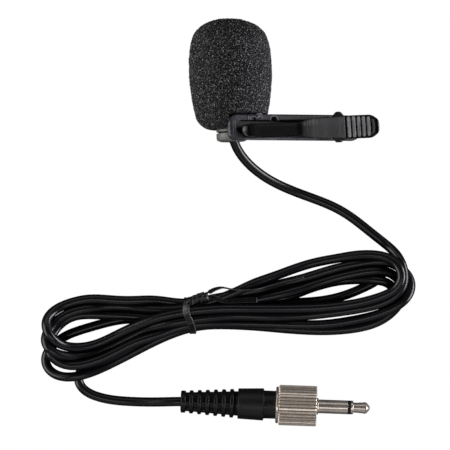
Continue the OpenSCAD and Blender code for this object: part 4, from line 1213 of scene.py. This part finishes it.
def boot_field(x, y, z):
    # x along the axis
    r = np.hypot(y, z)
    rv = 2.38 + x * 0.055
    ends = np.maximum(-x, x - 16.5)
    core = np.maximum(r - 1.62 - 0.012 * x, ends)
    d = core
    # walls that bridge the flex slots at the sides
    for a in (0, 2):
        ca, sa = math.cos(a * math.pi / 2), math.sin(a * math.pi / 2)
        across = np.abs(-sa * y + ca * z) - 1.45
        out = (ca * y + sa * z) * -1
        bar = smax(np.maximum(r - rv, across), out, 0.2)
        bar = smax(np.maximum(bar, np.maximum(-x, x - 14.5)), r - rv, 0.25)
        d = smin(d, bar, 0.12)
    for i in range(7):
        u = 0.65 + i * 12.3 / 6
        R = 2.78 + u * 0.067
        w = 0.5 + (0.12 if i == 0 else 0.0)
        rib = smax(r - R, np.abs(x - u) - w, 0.3)
        d = smin(d, rib, 0.15)
    last = smax(r - 3.05, np.abs(x - 14.3) - 0.45, 0.2)
    d = smin(d, last, 0.15)
    spig = np.maximum(r - 2.58, np.maximum(14.0 - x, x - 16.5))
    d = np.minimum(d, spig)
    bore = r - 1.22
    return np.maximum(d, -bore)


boot = field_solid("strain_boot", boot_field, (-0.4, -4.2, -4.2), (17.0, 4.2, 4.2), 0.11, (PLUG_P, M_PLUG), mat_boot)
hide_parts("strain_relief_boot")
for o, s in ((handle, "handle_plastic"), (body_, "nickel"), (sleeve, "nickel"), (ins, "insulator_black"), (tip, "nickel"), (boot, "boot_rubber")):
    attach(o, "microphone")

# ------------------------------------------------------------------ the other CAD pieces
mat_spring = metal("spring_steel", (0.35, 0.34, 0.32), (0.5, 0.48, 0.45), rough=(0.25, 0.4), grain=2.0)
mat_can = metal("capsule_can", (0.6, 0.6, 0.6), (0.75, 0.75, 0.75), rough=(0.3, 0.45), grain=2.0)
mat_felt = moulded("felt", (0.01, 0.01, 0.01), (0.03, 0.03, 0.03), rough=(0.9, 1.0), grain=6, bump=1.0, bump_mm=0.05)
mat_rub = moulded("gasket_rubber", (0.01, 0.01, 0.01), (0.02, 0.02, 0.02), rough=(0.6, 0.7), grain=3)
mat_board = moulded("board", (0.01, 0.08, 0.03), (0.02, 0.14, 0.05), rough=(0.3, 0.45), grain=3)
mat_red = moulded("wire_red", (0.35, 0.02, 0.015), (0.5, 0.03, 0.02), rough=(0.3, 0.4), grain=3)
mat_cu = metal("copper", (0.6, 0.35, 0.18), (0.8, 0.5, 0.3), rough=(0.2, 0.35), grain=3)
mat_white = moulded("inner_insulator", (0.5, 0.48, 0.45), (0.65, 0.63, 0.6), rough=(0.4, 0.5), grain=3)
FINISH = {"mic_front_ring": mat_barrel, "mic_grille": mat_can, "capsule_felt": mat_felt, "mic_capsule": mat_can, "capsule_gasket": mat_rub,
          "capsule_board": mat_board, "lead_red": mat_red, "lead_bare": mat_cu, "cable_crimp": mat_can, "clip_holder_ring": mat_tray,
          "clip_spring": mat_spring, "clip_spring_leg": mat_spring, "nut_retainer": mat_spring, "tip_rod": mat_cu,
          "core_insulator": mat_white, "sleeve_terminal": mat_spring, "tip_terminal": mat_cu, "tip_wire": mat_red}
for n_, m_ in FINISH.items():
    for s_ in NODES[n_].material_slots:
        s_.link = "OBJECT"
        s_.material = m_

# ------------------------------------------------------------------ floor and light
fm, nt, bs = new_mat("floor")
nt.nodes.remove(bs)
out = [n_ for n_ in nt.nodes if n_.type == "OUTPUT_MATERIAL"][0]
em = N_(nt, "Emission", Strength=1.0)
nt.links.new(em.outputs[0], out.inputs[0])
me = bpy.data.meshes.new("floor")
me.from_pydata([(-4, -4, 0), (4, -4, 0), (4, 4, 0), (-4, 4, 0)], [], [(0, 1, 2, 3)])
floor = bpy.data.objects.new("floor", me)
bpy.context.collection.objects.link(floor)
me.materials.append(fm)
floor.location.z = -0.00005
floor.visible_diffuse = False
floor.visible_glossy = False
floor.visible_shadow = False


def area(name, loc, size, power, target=(CX * MM, CY * MM, 0), color=(1, 1, 1)):
    ld = bpy.data.lights.new(name, "AREA")
    ld.shape = "RECTANGLE"
    ld.size, ld.size_y = size
    ld.energy = power
    ld.color = color
    ob = bpy.data.objects.new(name, ld)
    bpy.context.collection.objects.link(ob)
    ob.location = loc
    d = Vector(target) - Vector(loc)
    ob.rotation_euler = d.to_track_quat("-Z", "Y").to_euler()
    ob.visible_camera = False
    return ob


area("soft_left", (-0.72, -0.037, 0.31), (0.9, 0.56), 5.2, color=(1.0, 0.985, 0.965))
area("soft_right", (0.85, -0.037, 0.18), (0.9, 0.27), 9.5, color=(0.96, 0.975, 1.0))
area("top", (-0.015, -0.55, 1.18), (1.0, 0.36), 2.0, color=(0.97, 0.975, 1.0))
area("front", (-0.015, -0.85, 0.35), (1.2, 0.6), 0.8)
area("back", (-0.015, 0.75, 0.5), (1.2, 0.4), 0.9)

world = bpy.data.worlds.new("room")
bpy.context.scene.world = world
world.use_nodes = True
bg = [n_ for n_ in world.node_tree.nodes if n_.type == "BACKGROUND"][0]
bg.inputs[0].default_value = (0.9, 0.93, 1.0, 1)
bg.inputs[1].default_value = 0.045
vs = bpy.context.scene.view_settings
vs.view_transform = "Standard"
vs.look = "None"

bpy.context.view_layer.update()
